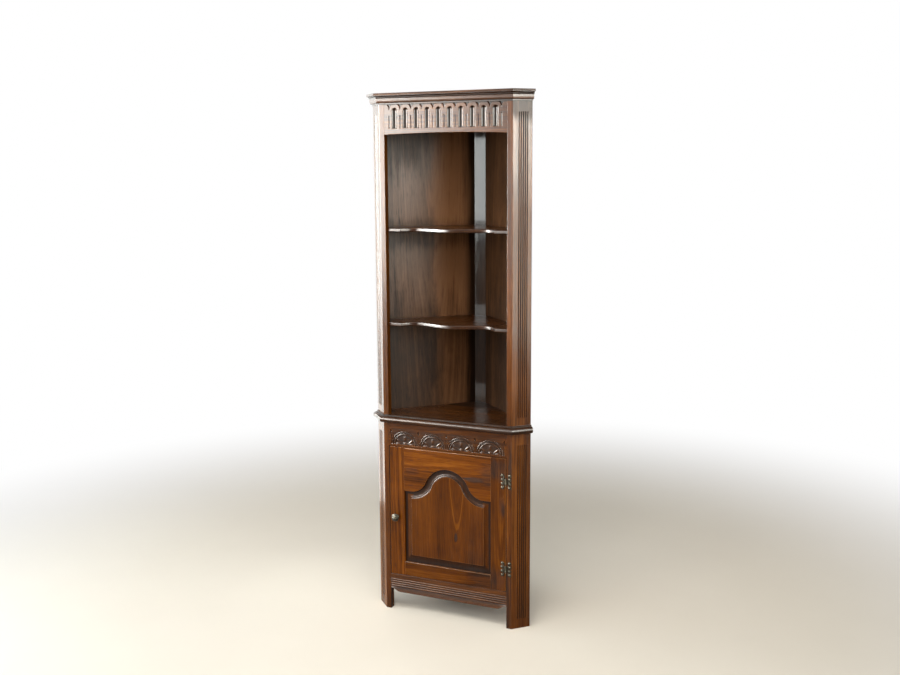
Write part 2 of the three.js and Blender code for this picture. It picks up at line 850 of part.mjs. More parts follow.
function hingePin() {
  const end = barrelLength / 2 + knuckleGap;
  return turned([
    point(0, -end - pinHeadHeight),
    point(pinHeadRadius, -end - pinHeadHeight / 2),
    point(pinHeadRadius, -end),
    point(pinRadius, -end),
    point(pinRadius, end),
    point(pinHeadRadius, end),
    point(pinHeadRadius, end + pinHeadHeight / 2),
    point(0, end + pinHeadHeight),
  ], 16);
}

function hingeScrew() {
  return turned([
    point(0, -screwLength),
    point(screwRadius, -screwLength + screwRadius),
    point(screwRadius, 0),
    point(screwHeadRadius, 0),
    point(screwHeadRadius, screwHeadHeight / 2),
    point(0, screwHeadHeight),
  ], 12).rotateX(Math.PI / 2);
}

// Both leaves, the pin and the screws of one hinge. The holes for the screws are in the wood.
function addHinge(fixed, moving, label, height) {
  const third = barrelLength / 3;
  const outer = [[-barrelLength / 2, -third / 2 - knuckleGap], [third / 2 + knuckleGap, barrelLength / 2]];
  const middle = [[-third / 2, third / 2]];
  const frameLeaf = fromSolid(hingeLeaf(outer, middle));
  const doorLeaf = fromSolid(hingeLeaf(middle, outer)).rotateY(Math.PI);
  const place = (mesh, x, y, z) => mesh.position.set(hingeX + x, y, height + z);
  place(piece(fixed, `${label}_hinge_frame_leaf`, frameLeaf, materials.brass), 0, hingeY, 0);
  place(piece(moving, `${label}_hinge_door_leaf`, doorLeaf, materials.brass), 0, hingeY, 0);
  place(piece(fixed, `${label}_hinge_pin`, hingePin(), materials.brass), 0, hingeY, 0);
  const holders = [[fixed, 'frame', 1], [moving, 'door', -1]];
  for (const [holder, member, side] of holders) {
    leafScrewPlaces.forEach((z, i) => {
      const name = `${label}_hinge_${member}_screw_${i + 1}`;
      const screw = piece(holder, name, hingeScrew(), materials.brass);
      place(screw, side * lobeReach, -leafThickness, z);
    });
  }
}

const hingeHeights = { upper: doorTop - hingeInset, lower: doorBottom + hingeInset };

// Screw holes for the hinges, bored into a stile of the door or of the frame.
function boredForHinges(stile, side) {
  let bored = solid(stile);
  for (const height of Object.values(hingeHeights)) {
    for (const z of leafScrewPlaces) {
      const hole = depthBar(screwRadius + screwHolePlay, -cutOverrun, screwLength, 12);
      hole.translate(hingeX + side * lobeReach, 0, height + z);
      bored = bored.subtract(solid(hole));
    }
  }
  return fromSolid(bored);
}

// A block behind the frieze carries the catch, which meets a plate on the back of the door.
function addCatch(fixed, moving) {
  const x = -doorHalf + catchInset;
  const bottom = lowerHeight - lowerFriezeHeight;
  const blockBack = railThickness + catchBlockDepth;
  const blockGeometry = block(x - catchBlockLength / 2, x + catchBlockLength / 2, railThickness,
    blockBack, bottom, bottom + catchBlockHeight);
  piece(fixed, 'catch_block', blockGeometry, materials.oakInside);
  const plateBack = doorThickness + catchPlateThickness;
  const catchFront = plateBack + catchFaceGap;
  const catchGeometry = block(x - catchLength / 2, x + catchLength / 2, catchFront,
    catchFront + catchDepth, bottom - catchHeight, bottom);
  piece(fixed, 'magnetic_catch', catchGeometry, materials.plastic);
  const plateTop = doorTop - catchEdge;
  const plate = block(x - catchPlateLength / 2, x + catchPlateLength / 2, doorThickness,
    plateBack, plateTop - catchPlateHeight, plateTop);
  piece(moving, 'catch_plate', plate, materials.steel);
}

function buildCupboard() {
  const cupboard = new THREE.Group();
  cupboard.position.y = (topOverhang - backFace) / 2;
  const lower = new THREE.Group();
  const upper = new THREE.Group();
  upper.position.z = lowerHeight + waistThickness;
  cupboard.add(lower, upper);

  addUpright(lower, 'lower', lowerHeight, lowerReedFoot, lowerReedHead, backPanelLift);
  addLowerFrieze(lower);
  addPlinth(lower);
  addFloor(lower);
  addWaist(lower);

  addUpright(upper, 'upper', upperHeight, upperReedFoot, upperReedHead, 0);
  addUpperFrieze(upper);
  addCornice(upper);
  addTopBoard(upper);
  piece(upper, 'middle_shelf', shelf(middleShelfTop), materials.oak);
  piece(upper, 'upper_shelf', shelf(upperShelfTop), materials.oak);

  const door = addDoor(lower);
  for (const [label, height] of Object.entries(hingeHeights)) {
    addHinge(lower, door, label, height);
  }
  const frameStile = lower.getObjectByName('lower_stile_right');
  frameStile.geometry = boredForHinges(frameStile.geometry, 1);
  const doorStileMesh = door.getObjectByName('door_stile_right');
  doorStileMesh.geometry = boredForHinges(doorStileMesh.geometry, -1);
  addCatch(lower, door);
  return cupboard;
}

export default buildCupboard();
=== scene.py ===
import json
import math

import bpy
import numpy as np
from mathutils import Matrix, Vector


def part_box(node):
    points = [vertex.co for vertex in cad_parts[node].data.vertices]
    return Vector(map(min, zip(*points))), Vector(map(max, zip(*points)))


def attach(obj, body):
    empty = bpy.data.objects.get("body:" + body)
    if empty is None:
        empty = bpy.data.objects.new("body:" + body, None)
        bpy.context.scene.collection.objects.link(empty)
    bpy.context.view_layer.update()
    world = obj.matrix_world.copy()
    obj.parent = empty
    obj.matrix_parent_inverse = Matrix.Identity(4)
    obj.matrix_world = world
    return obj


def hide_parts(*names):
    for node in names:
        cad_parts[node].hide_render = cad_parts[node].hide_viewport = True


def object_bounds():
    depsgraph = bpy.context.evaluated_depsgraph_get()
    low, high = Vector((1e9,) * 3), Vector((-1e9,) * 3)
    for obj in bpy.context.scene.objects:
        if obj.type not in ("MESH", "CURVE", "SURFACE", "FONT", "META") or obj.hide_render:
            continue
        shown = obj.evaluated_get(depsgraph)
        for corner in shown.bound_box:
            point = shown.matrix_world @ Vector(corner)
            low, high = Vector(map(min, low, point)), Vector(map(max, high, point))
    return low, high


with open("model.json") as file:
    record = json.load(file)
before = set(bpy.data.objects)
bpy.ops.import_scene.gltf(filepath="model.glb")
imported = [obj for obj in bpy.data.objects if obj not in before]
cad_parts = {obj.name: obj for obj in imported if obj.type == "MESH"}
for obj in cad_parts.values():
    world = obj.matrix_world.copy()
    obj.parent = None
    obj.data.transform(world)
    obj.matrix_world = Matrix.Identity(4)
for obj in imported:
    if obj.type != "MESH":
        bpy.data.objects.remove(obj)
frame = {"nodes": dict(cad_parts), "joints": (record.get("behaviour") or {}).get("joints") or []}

cadBox = [list(corner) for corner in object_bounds()]
diag = math.sqrt(0.5)
mitre = math.tan(math.pi / 8)   # how far a 45 degree corner moves sideways for each metre out


def heights(node):   # foot and head of a piece in the frame
    return [corner.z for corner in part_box(node)]


def nodeName(name):   # upperStileLeft stands for upper_stile_left
    return "".join("_" + letter.lower() if letter.isupper() else letter for letter in name)


# Places read from the frame, in metres. Plan places are measured from the plane of the front.
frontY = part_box("upper_stile_right")[0].y
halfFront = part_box("upper_stile_right")[1].x    # middle to front arris
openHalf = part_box("upper_frieze_rail")[1].x     # middle to the stile's inner edge
backDepth = cadBox[1][1] - frontY               # front plane to the cut back corner
waistLow, waistTop = heights("waist_board")
topLow, topHigh = heights("top_board")
doorLow, doorHigh = heights("door_stile_left")
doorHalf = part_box("door_stile_right")[1].x
hinge = frame["joints"][0]["pos_m"]             # a point on the door's axis
case = {"cant": 0.0695, "board": 0.018, "rebate": 0.009, "panel": 0.0065, "stileDepth": 0.022,
        "rail": 0.018, "arris": 0.003, "ease": 0.0009}


# Shader sockets and finishes

class Wire:   # one shader socket; arithmetic on it adds Math nodes
    def __init__(self, finish, socket):
        self.finish = finish
        self.socket = socket

    def __add__(self, other): return self.finish.maths("ADD", self, other)
    def __radd__(self, other): return self.finish.maths("ADD", other, self)
    def __sub__(self, other): return self.finish.maths("SUBTRACT", self, other)
    def __rsub__(self, other): return self.finish.maths("SUBTRACT", other, self)
    def __mul__(self, other): return self.finish.maths("MULTIPLY", self, other)
    def __rmul__(self, other): return self.finish.maths("MULTIPLY", other, self)
    def __truediv__(self, other): return self.finish.maths("DIVIDE", self, other)
    def __pow__(self, other): return self.finish.maths("POWER", self, other)

    def ease(self, low, high):   # 0 below low, 1 above high, a smooth rise between
        made = self.finish.node("MapRange", {"interpolation_type": "SMOOTHSTEP"},
                                {"Value": self, "From Min": low, "From Max": high})
        return self.finish.wire(made, "Result")


class Finish:   # the nodes of one material or world
    def __init__(self, block):
        self.block = block
        block.use_nodes = True
        self.tree = block.node_tree
        self.tree.nodes.clear()

    def node(self, kind, settings=None, inputs=None):
        made = self.tree.nodes.new("ShaderNode" + kind)
        for key, value in (settings or {}).items():
            setattr(made, key, value)
        for key, value in (inputs or {}).items():
            if isinstance(value, Wire):
                self.tree.links.new(value.socket, made.inputs[key])
            else:
                made.inputs[key].default_value = value
        return made

    def wire(self, made, key=0):
        return Wire(self, made.outputs[key])

    def maths(self, operation, *values):
        return self.wire(self.node("Math", {"operation": operation}, dict(enumerate(values))))

    def vector(self, x, y, z):
        return self.wire(self.node("CombineXYZ", inputs={"X": x, "Y": y, "Z": z}))

    def noise(self, vector, scale, detail, rough=0.5):
        return self.wire(self.node("TexNoise", inputs={"Vector": vector, "Scale": scale, "Detail": detail,
                                                       "Roughness": rough}))

    def mark(self, name):   # a number kept on the mesh's points
        return self.wire(self.node("Attribute", {"attribute_name": name}), "Fac")

    def blend(self, factor, first, second):   # two colours
        colours = [(*c, 1) if isinstance(c, tuple) else c for c in (first, second)]
        made = self.node("Mix", {"data_type": "RGBA"}, {0: factor, 6: colours[0], 7: colours[1]})
        return self.wire(made, 2)

    def bump(self, height, strength, distance):
        return self.wire(self.node("Bump", inputs={"Height": height, "Strength": strength,
                                                   "Distance": distance}))

    # Object coordinates about a centre and turned about Z, in the order asked for
    def axes(self, order="xzy", turn=0, centre=(0, 0, 0)):
        spin = Matrix.Rotation(math.radians(turn), 3, "Z")
        turned = self.node("Mapping", inputs={"Vector": self.wire(self.node("TexCoord"), "Object"),
                                              "Rotation": (0, 0, math.radians(turn)),
                                              "Location": -(spin @ Vector(centre))})
        parts = self.node("SeparateXYZ", inputs={"Vector": self.wire(turned)})
        return [self.wire(parts, letter.upper()) for letter in order]

    def seen(self):   # 1 for rays from the camera, off a mirror or through glass
        path = self.node("LightPath")
        kinds = ("Camera", "Glossy", "Transmission")
        eye, mirror, glass = (self.wire(path, f"Is {kind} Ray") for kind in kinds)
        return self.maths("MAXIMUM", self.maths("MAXIMUM", eye, mirror), glass)

    def between(self, factor, first, second, output):   # the closing mix of two shaders
        both = self.node("MixShader", inputs={0: factor, 1: self.wire(first), 2: self.wire(second)})
        self.node(output, inputs={"Surface": self.wire(both)})

    def surface(self, inputs):   # the closing shader of a finish
        made = self.node("BsdfPrincipled", inputs=inputs)
        self.node("OutputMaterial", inputs={"Surface": self.wire(made)})
        return self.block


looks = {   # three tones of stained oak, a dark tone for glaze in hollows that also paints shade, and the rubbed tone of edges that also paints highlights; the door's rubbed tone is paler for its painted highlights
    "case": {"dark": (0.034, 0.0098, 0.0014), "middle": (0.102, 0.0285, 0.0026),
             "light": (0.215, 0.0680, 0.0080), "glazeAndShade": (0.006, 0.0026, 0.0012),
             "worn": (0.17, 0.078, 0.030)},
    "door": {"dark": (0.040, 0.0112, 0.0010), "middle": (0.126, 0.0335, 0.0016),
             "light": (0.260, 0.0800, 0.0055), "glazeAndShade": (0.007, 0.0028, 0.0012),
             "worn": (0.34, 0.155, 0.055)},
    "inside": {"dark": (0.028, 0.0122, 0.0052), "middle": (0.078, 0.0350, 0.0150),
               "light": (0.158, 0.0730, 0.0320), "glazeAndShade": (0.005, 0.0024, 0.0012),
               "worn": (0.10, 0.05, 0.022)},
}
gloss = {"case": 0.09, "door": 0.065, "inside": 0.036}
# Noise drawn out along the grain: scale across, scale along, which direction the seed moves, detail and
# roughness.
grain = {"sway": (6, 1.3, 0, 2, 0.5), "ripple": (55, 5, 1, 2, 0.5), "broad": (22, 1.3, 0, 3, 0.6),
         "cloud": (9, 5, 2, 3, 0.6), "streak": (300, 9, 1, 3, 0.65), "pore": (1000, 32, 2, 1, 0.5)}


# Oak is sawn from rings about a pith that leans away along the grain: pith gives its place to the side and
# behind the board's centre, and its lean. Bands of growth are noise along the distance from the pith, so
# they follow the rings. Stains and shade darken the board and dull it, or pale it where they are less than
# 0: side, height, half width, half height, strength. Some are real stains and knots, and some are painted
# shade: darker towards a foot, the back and the right, under the cornice and above a shelf. Corner shade is
# painted shade towards the inside corner: where, across the board, it starts and where it is full. Inner is
# where, through the board, its inside begins and ends, when only that face has stains, shade and corner
# shade. Vein is one pale ring: its radius, half width and strength.
def oak(name, centre, pith, seed, look="case", order="xzy", turn=0, tone=1.0, figure=1.0, stainsAndShade=(),
        rough=0.2, shine=None, dusk=None, inner=None, rings=180, vein=None, relief=1.0):
    shade = {key: tuple(tone * part for part in value) for key, value in looks[look].items()}
    finish = Finish(bpy.data.materials.new(name))
    across, along, deep = finish.axes(order, turn, centre)

    def drawnOut(wide, long, moved, detail, roughness):
        place = [across * wide, along * long, deep * wide]
        place[moved] = place[moved] + seed
        return finish.noise(finish.vector(*place), 1, detail, roughness)

    sway, ripple, broad, cloud, streak, pore = (drawnOut(*row) for row in grain.values())
    sway, ripple = sway - 0.5, ripple - 0.5
    # Real stains and painted shade both add to the stain here.
    stain = 0.0
    for side, height, wide, high, strength in stainsAndShade:
        near = finish.maths("SQRT", ((across - side) / wide) ** 2.0 + ((along - height) / high) ** 2.0)
        stain = (1 - (near + ripple * 1.2).ease(0.45, 1.05)) * strength + stain
    soil = finish.maths("MAXIMUM", stain, 0.0) if stainsAndShade else 0.0
    inside = 1.0
    if inner:
        inside = deep.ease(*inner)
        stain = stain * inside
    aside = across - pith[0] + sway * 0.022
    behind = deep + along * pith[2] + pith[1]
    radius = finish.maths("SQRT", aside * aside + behind * behind) + ripple * 0.0022 + stain * 0.004
    bands = finish.noise(finish.vector(radius * rings, along * 0.9 + seed, seed), 1, 4, 0.62)
    lines = finish.noise(finish.vector(radius * 620, along * 3 + seed, seed), 1, 2)
    level = (bands - 0.5) * (1.55 * figure) + (lines - 0.5) * (0.5 * figure) + (broad - 0.5) * 0.75
    level = level + (cloud - 0.5) * 0.55 + (streak - 0.5) * (0.8 * figure) + 0.5 - stain * 0.55
    if vein:
        level = level + (1 - finish.maths("ABSOLUTE", (radius - vein[0]) / vein[1]).ease(0.2, 1.0)) * vein[2]
    cut = pore.ease(0.56, 0.70) * (1.25 - level.ease(0.2, 0.9))
    lower = finish.blend(level.ease(0.02, 0.52), shade["dark"], shade["middle"])
    colour = finish.blend(level.ease(0.45, 1.0), lower, shade["light"])
    colour = finish.blend(cut * 0.55, colour, shade["glazeAndShade"])
    # Worn and highlight: real wear on edges and crests, and painted highlights on some rounded edges, reed
    # crowns and carved petals, blended towards the rubbed tone.
    colour = finish.blend(finish.mark("worn") * (0.05 + broad * 0.45), colour, shade["worn"])
    # Grime and shade: glaze and dirt in real hollows, and painted shade in grooves, recesses, gaps and faces
    # turned from the light, blended towards the dark tone.
    colour = finish.blend(finish.mark("grimeAndShade") * 0.88, colour, shade["glazeAndShade"])
    if dusk:
        colour = finish.blend((across + ripple * 0.02).ease(*dusk) * inside * 0.9, colour, shade["glazeAndShade"])
    dull = rough + (cloud - 0.4) * 0.14 + (streak - 0.5) * 0.2 + cut * 0.1
    dull = dull + finish.mark("grimeAndShade") * 0.1 + soil * 0.22
    bump = finish.bump(level * 0.2 - cut, 0.3, 0.00005 * relief)
    return finish.surface({"IOR": 1.5, "Specular IOR Level": shine or gloss[look], "Base Color": colour,
                           "Roughness": dull, "Normal": bump})


canted, wallMiddle = halfFront + case["cant"] * diag / 2, 0.12
boards = {
    "stileLeft": dict(centre=(-0.229, frontY, 0.9), pith=(-0.05, 0.10, 0.02), seed=3.1, tone=0.88,
                      figure=0.85),
    "stileRight": dict(centre=(0.229, frontY, 0.9), pith=(0.03, 0.05, -0.012), seed=7.7,
                       stainsAndShade=[(0.006, -0.35, 0.012, 0.14, 0.5), (0.0, 0.15, 0.1, 0.3, -0.35),
                               (0.0, -0.50, 0.05, 0.13, -0.4), (0.0, -0.80, 0.05, 0.16, 0.5)]),
    "cantedLeft": dict(centre=(-canted, frontY + 0.025, 0.9), pith=(-0.06, 0.08, 0.02), seed=11.3, turn=45,
                       tone=0.9, figure=0.5, stainsAndShade=[(0.0, -0.55, 0.1, 0.4, -0.8)]),
    "cantedRight": dict(centre=(canted, frontY + 0.025, 0.9), pith=(0.04, 0.06, 0.015), seed=17.9, turn=-45,
                        tone=0.88,
                        # The first stain is the cornice's painted shadow over the top of the board.
                        stainsAndShade=[(0.0, 0.85, 0.09, 0.06, 1.0), (-0.02, -0.1, 0.04, 0.3, -0.3),
                                (-0.02, -0.50, 0.03, 0.24, -0.5), (0.027, -0.55, 0.022, 0.4, 0.22)]),
    "rail": dict(centre=(0, frontY, 0.65), pith=(0.05, 0.06, 0.04), seed=23.5, order="zxy", tone=0.85,
                 relief=0.4),
    "plinth": dict(centre=(0, frontY, 0.1), pith=(0.04, 0.06, 0.03), seed=26.5, order="zxy", tone=0.7,
                   relief=0.3, rough=0.34, shine=0.07),
    "frieze": dict(centre=(0, frontY, 1.71), pith=(0.05, 0.05, 0.03), seed=29.1, order="zxy", tone=0.74,
                   figure=0.75),
    "crown": dict(centre=(0, frontY, 1.79), pith=(0.05, 0.05, 0.03), seed=33.1, order="zxy", tone=0.6,
                  shine=0.085),
    "mouldingLeft": dict(centre=(-canted, frontY, 1.77), pith=(0.05, 0.05, 0.03), seed=5.3, order="zxy",
                         turn=45),
    "mouldingRight": dict(centre=(canted, frontY, 1.77), pith=(0.05, 0.05, 0.03), seed=6.3, order="zxy",
                          turn=-45),
    "board": dict(centre=(0, 0, 1.25), pith=(0.02, 0.5, 0.03), seed=31.7, order="yxz", tone=0.42, figure=0.8,
                  # Its stain is painted shade, darker towards the back.
                  rough=0.25, shine=0.11, stainsAndShade=[(0.13, 0.0, 0.10, 0.5, 0.9)]),
    "shelf": dict(centre=(0, 0, 1.2), pith=(-0.03, 0.4, 0.02), seed=37.3, order="yxz", tone=0.3, figure=0.8,
                  rough=0.25, shine=0.13),
    "doorLeft": dict(look="door", centre=(-0.19, frontY, 0.365), pith=(-0.05, 0.10, 0.01), seed=41.9),
    "doorRight": dict(look="door", centre=(0.19, frontY, 0.365), pith=(0.012, 0.030, -0.02), seed=43.1,
                      tone=0.70,
                      # The second stain is painted shade, darker at the foot.
                      stainsAndShade=[(0.0145, 0.062, 0.011, 0.062, 0.7), (-0.004, -0.20, 0.035, 0.07, 0.7),
                              (0.0, 0.19, 0.04, 0.05, 0.5)]),
    "doorRail": dict(look="door", centre=(0, frontY, 0.54), pith=(0.02, 0.06, 0.02), seed=47.7, order="zxy",
                     tone=1.1,
                     stainsAndShade=[(-0.029, 0.098, 0.011, 0.050, 0.8), (-0.024, -0.134, 0.018, 0.036, 0.3),
                             (-0.01, 0.16, 0.05, 0.05, 0.45)]),
    "doorFoot": dict(look="door", centre=(0, frontY, 0.157), pith=(0.04, 0.06, 0.02), seed=53.3, order="zxy",
                     # Its stain is painted shade, darker towards the right end.
                     tone=0.7, figure=0.8, stainsAndShade=[(0.0, 0.15, 0.05, 0.09, 0.5)]),
    "panel": dict(look="door", centre=(0.036, frontY, 0.3), pith=(0.0, 0.05, -0.05), seed=59.9, tone=0.78,
                  figure=0.6, rings=300, vein=(0.0506, 0.0011, 0.3),
                  # The last stain is painted shade, darker across the foot of the panel.
                  stainsAndShade=[(-0.003, -0.004, 0.008, 0.022, 1.0), (0.075, -0.03, 0.05, 0.2, 0.25),
                          (-0.03, -0.085, 0.25, 0.05, 0.12)]),
    "insideLeft": dict(look="inside", centre=(-wallMiddle, 0.0, 1.2), pith=(0.02, 0.12, -0.05), seed=61.1,
                       order="yzx", turn=45, tone=1.05, figure=0.5, rough=0.3, dusk=(0.130, 0.172),
                       inner=(-0.0445, -0.0415),
                       # The second stain is painted shade, darker lower down, and the last a painted shadow
                       # just above the upper shelf.
                       stainsAndShade=[(0.095, 0.0, 0.10, 1.3, -0.9), (0.0, -0.36, 0.6, 0.36, 0.7),
                               (-0.1, 0.5, 0.2, 0.2, 0.6), (0.0, 0.125, 0.6, 0.065, 0.5)]),
    "insideRight": dict(look="inside", centre=(wallMiddle, 0.0, 1.2), pith=(0.03, 0.12, 0.04), seed=67.7,
                        order="yzx", turn=-45, tone=0.95, figure=0.6, rough=0.3, dusk=(0.10, 0.30),
                        inner=(0.0445, 0.0415),
                        # The first stain is painted shade, darker lower down.
                        stainsAndShade=[(0.0, -0.36, 0.6, 0.36, 0.5), (-0.11, 0.0, 0.08, 1.5, -0.6)]),
    "post": dict(look="inside", centre=(0, 0.1, 0.9), pith=(0.05, 0.2, 0.02), seed=71.3, tone=0.25,
                 figure=0.5, rough=0.07, shine=0.095),
    "floor": dict(look="inside", centre=(0, 0, 0.1), pith=(0.05, 0.2, 0.02), seed=73.9, order="yxz"),
}
oaks = {key: oak("oak " + nodeName(key).replace("_", " "), **board) for key, board in boards.items()}
print("oak finishes made", len(oaks))


# Brass that has darkened all over and rubbed bright again on its high spots.
def agedBrass():
    finish = Finish(bpy.data.materials.new("aged brass"))
    place = finish.vector(*finish.axes())
    stain, speck = finish.noise(place, 240, 3, 0.6), finish.noise(place, 1400, 2)
    rubbedAndHighlight = finish.mark("worn") * (0.35 + stain * 0.7)
    colour = finish.blend(stain.ease(0.35, 0.65), (0.010, 0.008, 0.004), (0.024, 0.018, 0.010))
    colour = finish.blend(rubbedAndHighlight, colour, (0.045, 0.035, 0.022))
    colour = finish.blend(finish.mark("grimeAndShade") * 0.85, colour, (0.006, 0.005, 0.003))
    return finish.surface({"Base Color": colour, "Roughness": 0.38 - rubbedAndHighlight * 0.08 + speck * 0.12,
                           "Metallic": 0.35 + rubbedAndHighlight * 0.3, "Specular IOR Level": 0.1,
                           "Normal": finish.bump(stain + speck * 0.3, 0.4, 0.0003)})


def platedSteel():
    finish = Finish(bpy.data.materials.new("plated steel"))
    across, along, deep = finish.axes()
    brushed = finish.noise(finish.vector(across * 90, along * 2600, deep * 400), 1, 2)
    return finish.surface({"Base Color": finish.blend(brushed, (0.060, 0.060, 0.058), (0.100, 0.100, 0.096)),
                           "Roughness": 0.4 + brushed * 0.2, "Metallic": 0.7, "Specular IOR Level": 0.1})


def brownPlastic():
    finish = Finish(bpy.data.materials.new("brown plastic"))
    fine = finish.noise(finish.vector(*finish.axes()), 900, 3)
    return finish.surface({"Base Color": finish.blend(fine, (0.040, 0.022, 0.013), (0.060, 0.034, 0.020)),
                           "Roughness": 0.5 + fine * 0.15, "Normal": finish.bump(fine, 0.3, 0.0002)})


brass, steel, plastic = agedBrass(), platedSteel(), brownPlastic()


# Surfaces

def wing(along, inward):   # plan place on the right wing, along the canted face and in along the wall
    return np.stack([halfFront + (along - inward) * diag, (along + inward) * diag], -1)


def stand(plan, heights):   # plan outlines at their heights
    plan, heights = np.broadcast_arrays(plan, np.asarray(heights)[..., None])
    return np.stack([plan[..., 0], plan[..., 1] + frontY, heights[..., 0]], -1)


def face(outline, out):   # outlines in elevation, each at its distance out from the front plane
    outline, out = np.broadcast_arrays(outline, np.asarray(out)[..., None])
    return np.stack([outline[..., 0], frontY - out[..., 0], outline[..., 1]], -1)


def mirrored(outline):   # the same outline on the other side, still anticlockwise
    return np.asarray(outline)[::-1] * [-1, 1]


def arc(centre, radius, start, end, steps):   # points of an arc, angles in degrees
    angle = np.radians(np.linspace(start, end, steps + 1))
    return np.stack([centre[0] + radius * np.cos(angle), centre[1] + radius * np.sin(angle)], -1)


# Rounds the corners of a closed outline: each becomes an arc tangent to both of its sides. Returns the
# points and how worn each is, 1 in the middle of an arc.
def eased(corners, radius, steps=4):
    corners = np.asarray(corners, float)
    radius = np.broadcast_to(np.asarray(radius, float), len(corners))
    before = corners - np.roll(corners, 1, 0)
    before /= np.linalg.norm(before, axis=1)[:, None]
    after = np.roll(before, -1, 0)
    turn = np.arctan2(before[:, 0] * after[:, 1] - before[:, 1] * after[:, 0], (before * after).sum(1))
    start = corners - before * (radius * np.tan(np.abs(turn) / 2))[:, None]
    inward = np.stack([-before[:, 1], before[:, 0]], 1) * (np.sign(turn) * radius)[:, None]
    share = np.linspace(0, 1, steps + 1)
    angle = turn[:, None] * share
    spoke = -inward[:, None]
    cos, sin = np.cos(angle), np.sin(angle)
    swept = np.stack([spoke[..., 0] * cos - spoke[..., 1] * sin,
                      spoke[..., 0] * sin + spoke[..., 1] * cos], -1)
    points = (start[:, None] + inward[:, None] + swept).reshape(-1, 2)
    worn = np.tile(np.sin(np.pi * share), len(corners)) * np.repeat(radius > 0, steps + 1)
    apart = np.linalg.norm(points - np.roll(points, 1, 0), axis=1) > 1e-6
    return points[apart], worn[apart]


# How each corner of a closed outline moves when all its sides move out by 1: the mitre direction.
def mitres(outline):
    side = np.roll(outline, -1, 0) - outline
    normal = np.stack([side[:, 1], -side[:, 0]], 1) / np.linalg.norm(side, axis=1)[:, None]
    before = np.roll(normal, 1, 0)
    return (normal + before) / (1 + (normal * before).sum(1))[:, None]


# A board's outlines from one end to the other: drawn in by r(1 - sin a) at r(1 - cos a) from the end,
# as a goes from 0 to 90 degrees, so that both rims are quarter rounds.
def boardLevels(outline, low, high, rim, steps=4):
    turn = np.linspace(0, np.pi / 2, steps + 1)[:, None]
    rim = np.broadcast_to(rim, len(outline))
    inset, climb = rim * (1 - np.sin(turn)), rim * (1 - np.cos(turn))
    drawnIn = np.concatenate([inset, inset[::-1]])
    level = np.concatenate([low + climb, high - climb[::-1]])
    worn = np.concatenate([np.sin(2 * turn), np.sin(2 * turn[::-1])])
    return outline - mitres(outline) * drawnIn[..., None], level, worn


def loftFaces(levels, count):   # quads between closed rings, with a face on each end
    row, step = np.arange(levels - 1)[:, None] * count, np.arange(count)
    after = (step + 1) % count
    quads = np.stack([row + step, row + after, row + count + after, row + count + step], -1)
    return quads.reshape(-1, 4).tolist() + [step[::-1].tolist(), ((levels - 1) * count + step).tolist()]


# Puts a piece in the scene: a loft through the rings of its points, unless its faces are given. Marks are
# spread over the points as they fit. The node it stands for has its name, unless that is given.
def addPiece(name, points, finish, marks, body="case", node=None, faces=None, sharp=38):
    mesh = bpy.data.meshes.new(name)
    mesh.from_pydata(points.reshape(-1, 3).tolist(), [], faces or loftFaces(*points.shape[:2]))
    for label, values in marks.items():
        kept = mesh.attributes.new(label, "FLOAT", "POINT")
        spread = np.broadcast_to(values, points.shape[:-1])
        kept.data.foreach_set("value", spread.ravel().astype(np.float32))
    mesh.shade_smooth()
    mesh.set_sharp_from_angle(angle=math.radians(sharp))
    mesh.materials.append(finish)
    piece = bpy.data.objects.new(name, mesh)
    bpy.context.scene.collection.objects.link(piece)
    piece.modifiers.new("flat faces", "WEIGHTED_NORMAL").keep_sharp = True
    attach(piece, body)
    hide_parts(node or nodeName(name))


# A carved rail on a grid of x and height, closed by a flat back. Depth is how far each point is cut in.
# The lower arris is a worn quarter round.
def addCarved(name, x, z, depth, grimeAndShade, worn, finish):
    wide, high = z.shape
    edge = np.clip(1 - (z - z[:, :1]) / case["ease"], 0, 1)
    depth = depth + case["ease"] * (1 - np.sqrt(1 - edge ** 2))
    front = np.stack([np.broadcast_to(x[:, None], z.shape), frontY + depth, z], -1)
    index = np.arange(wide * high).reshape(wide, high)
    quads = np.stack([index[:-1, :-1], index[1:, :-1], index[1:, 1:], index[:-1, 1:]], -1)
    rim = np.concatenate([index[:-1, 0], index[-1, :-1], index[:0:-1, -1], index[0, :0:-1]])
    back = wide * high + np.arange(len(rim))
    sides = np.stack([rim, back, np.roll(back, -1), np.roll(rim, -1)], -1)
    behind = front.reshape(-1, 3)[rim] * [1, 0, 1] + [0, frontY + case["rail"], 0]
    faces = quads.reshape(-1, 4).tolist() + sides.tolist() + [back[::-1].tolist()]
    marks = {"grimeAndShade": grimeAndShade, "worn": np.maximum(worn, edge)}
    marks = {key: np.append(value, np.zeros(len(rim))) for key, value in marks.items()}
    addPiece(name, np.concatenate([front.reshape(-1, 3), behind]), finish, marks,
             node=nodeName(name) + "_rail", faces=faces, sharp=60)


def rise(value, low, high):   # 0 below low, 1 above high, smooth between
    share = np.clip((value - low) / (high - low), 0, 1)
    return share * share * (3 - 2 * share)


def halfRound(share):   # 1 in the middle and 0 from 1 outwards, by the square root of 1 - share squared
    return np.sqrt(np.clip(1 - share ** 2, 0, 1))


def bell(away, wide):   # e to the power of less the square of away over wide
    return np.exp(-(away / wide) ** 2)


# Top board and cornice

def overhang(out):   # plan of a board that stands out over the front and the canted sides only
    right = np.array([(halfFront + out * mitre, -out), wing(case["cant"], -out), wing(case["cant"], wallRun)])
    return np.concatenate([right, mirrored(right)])


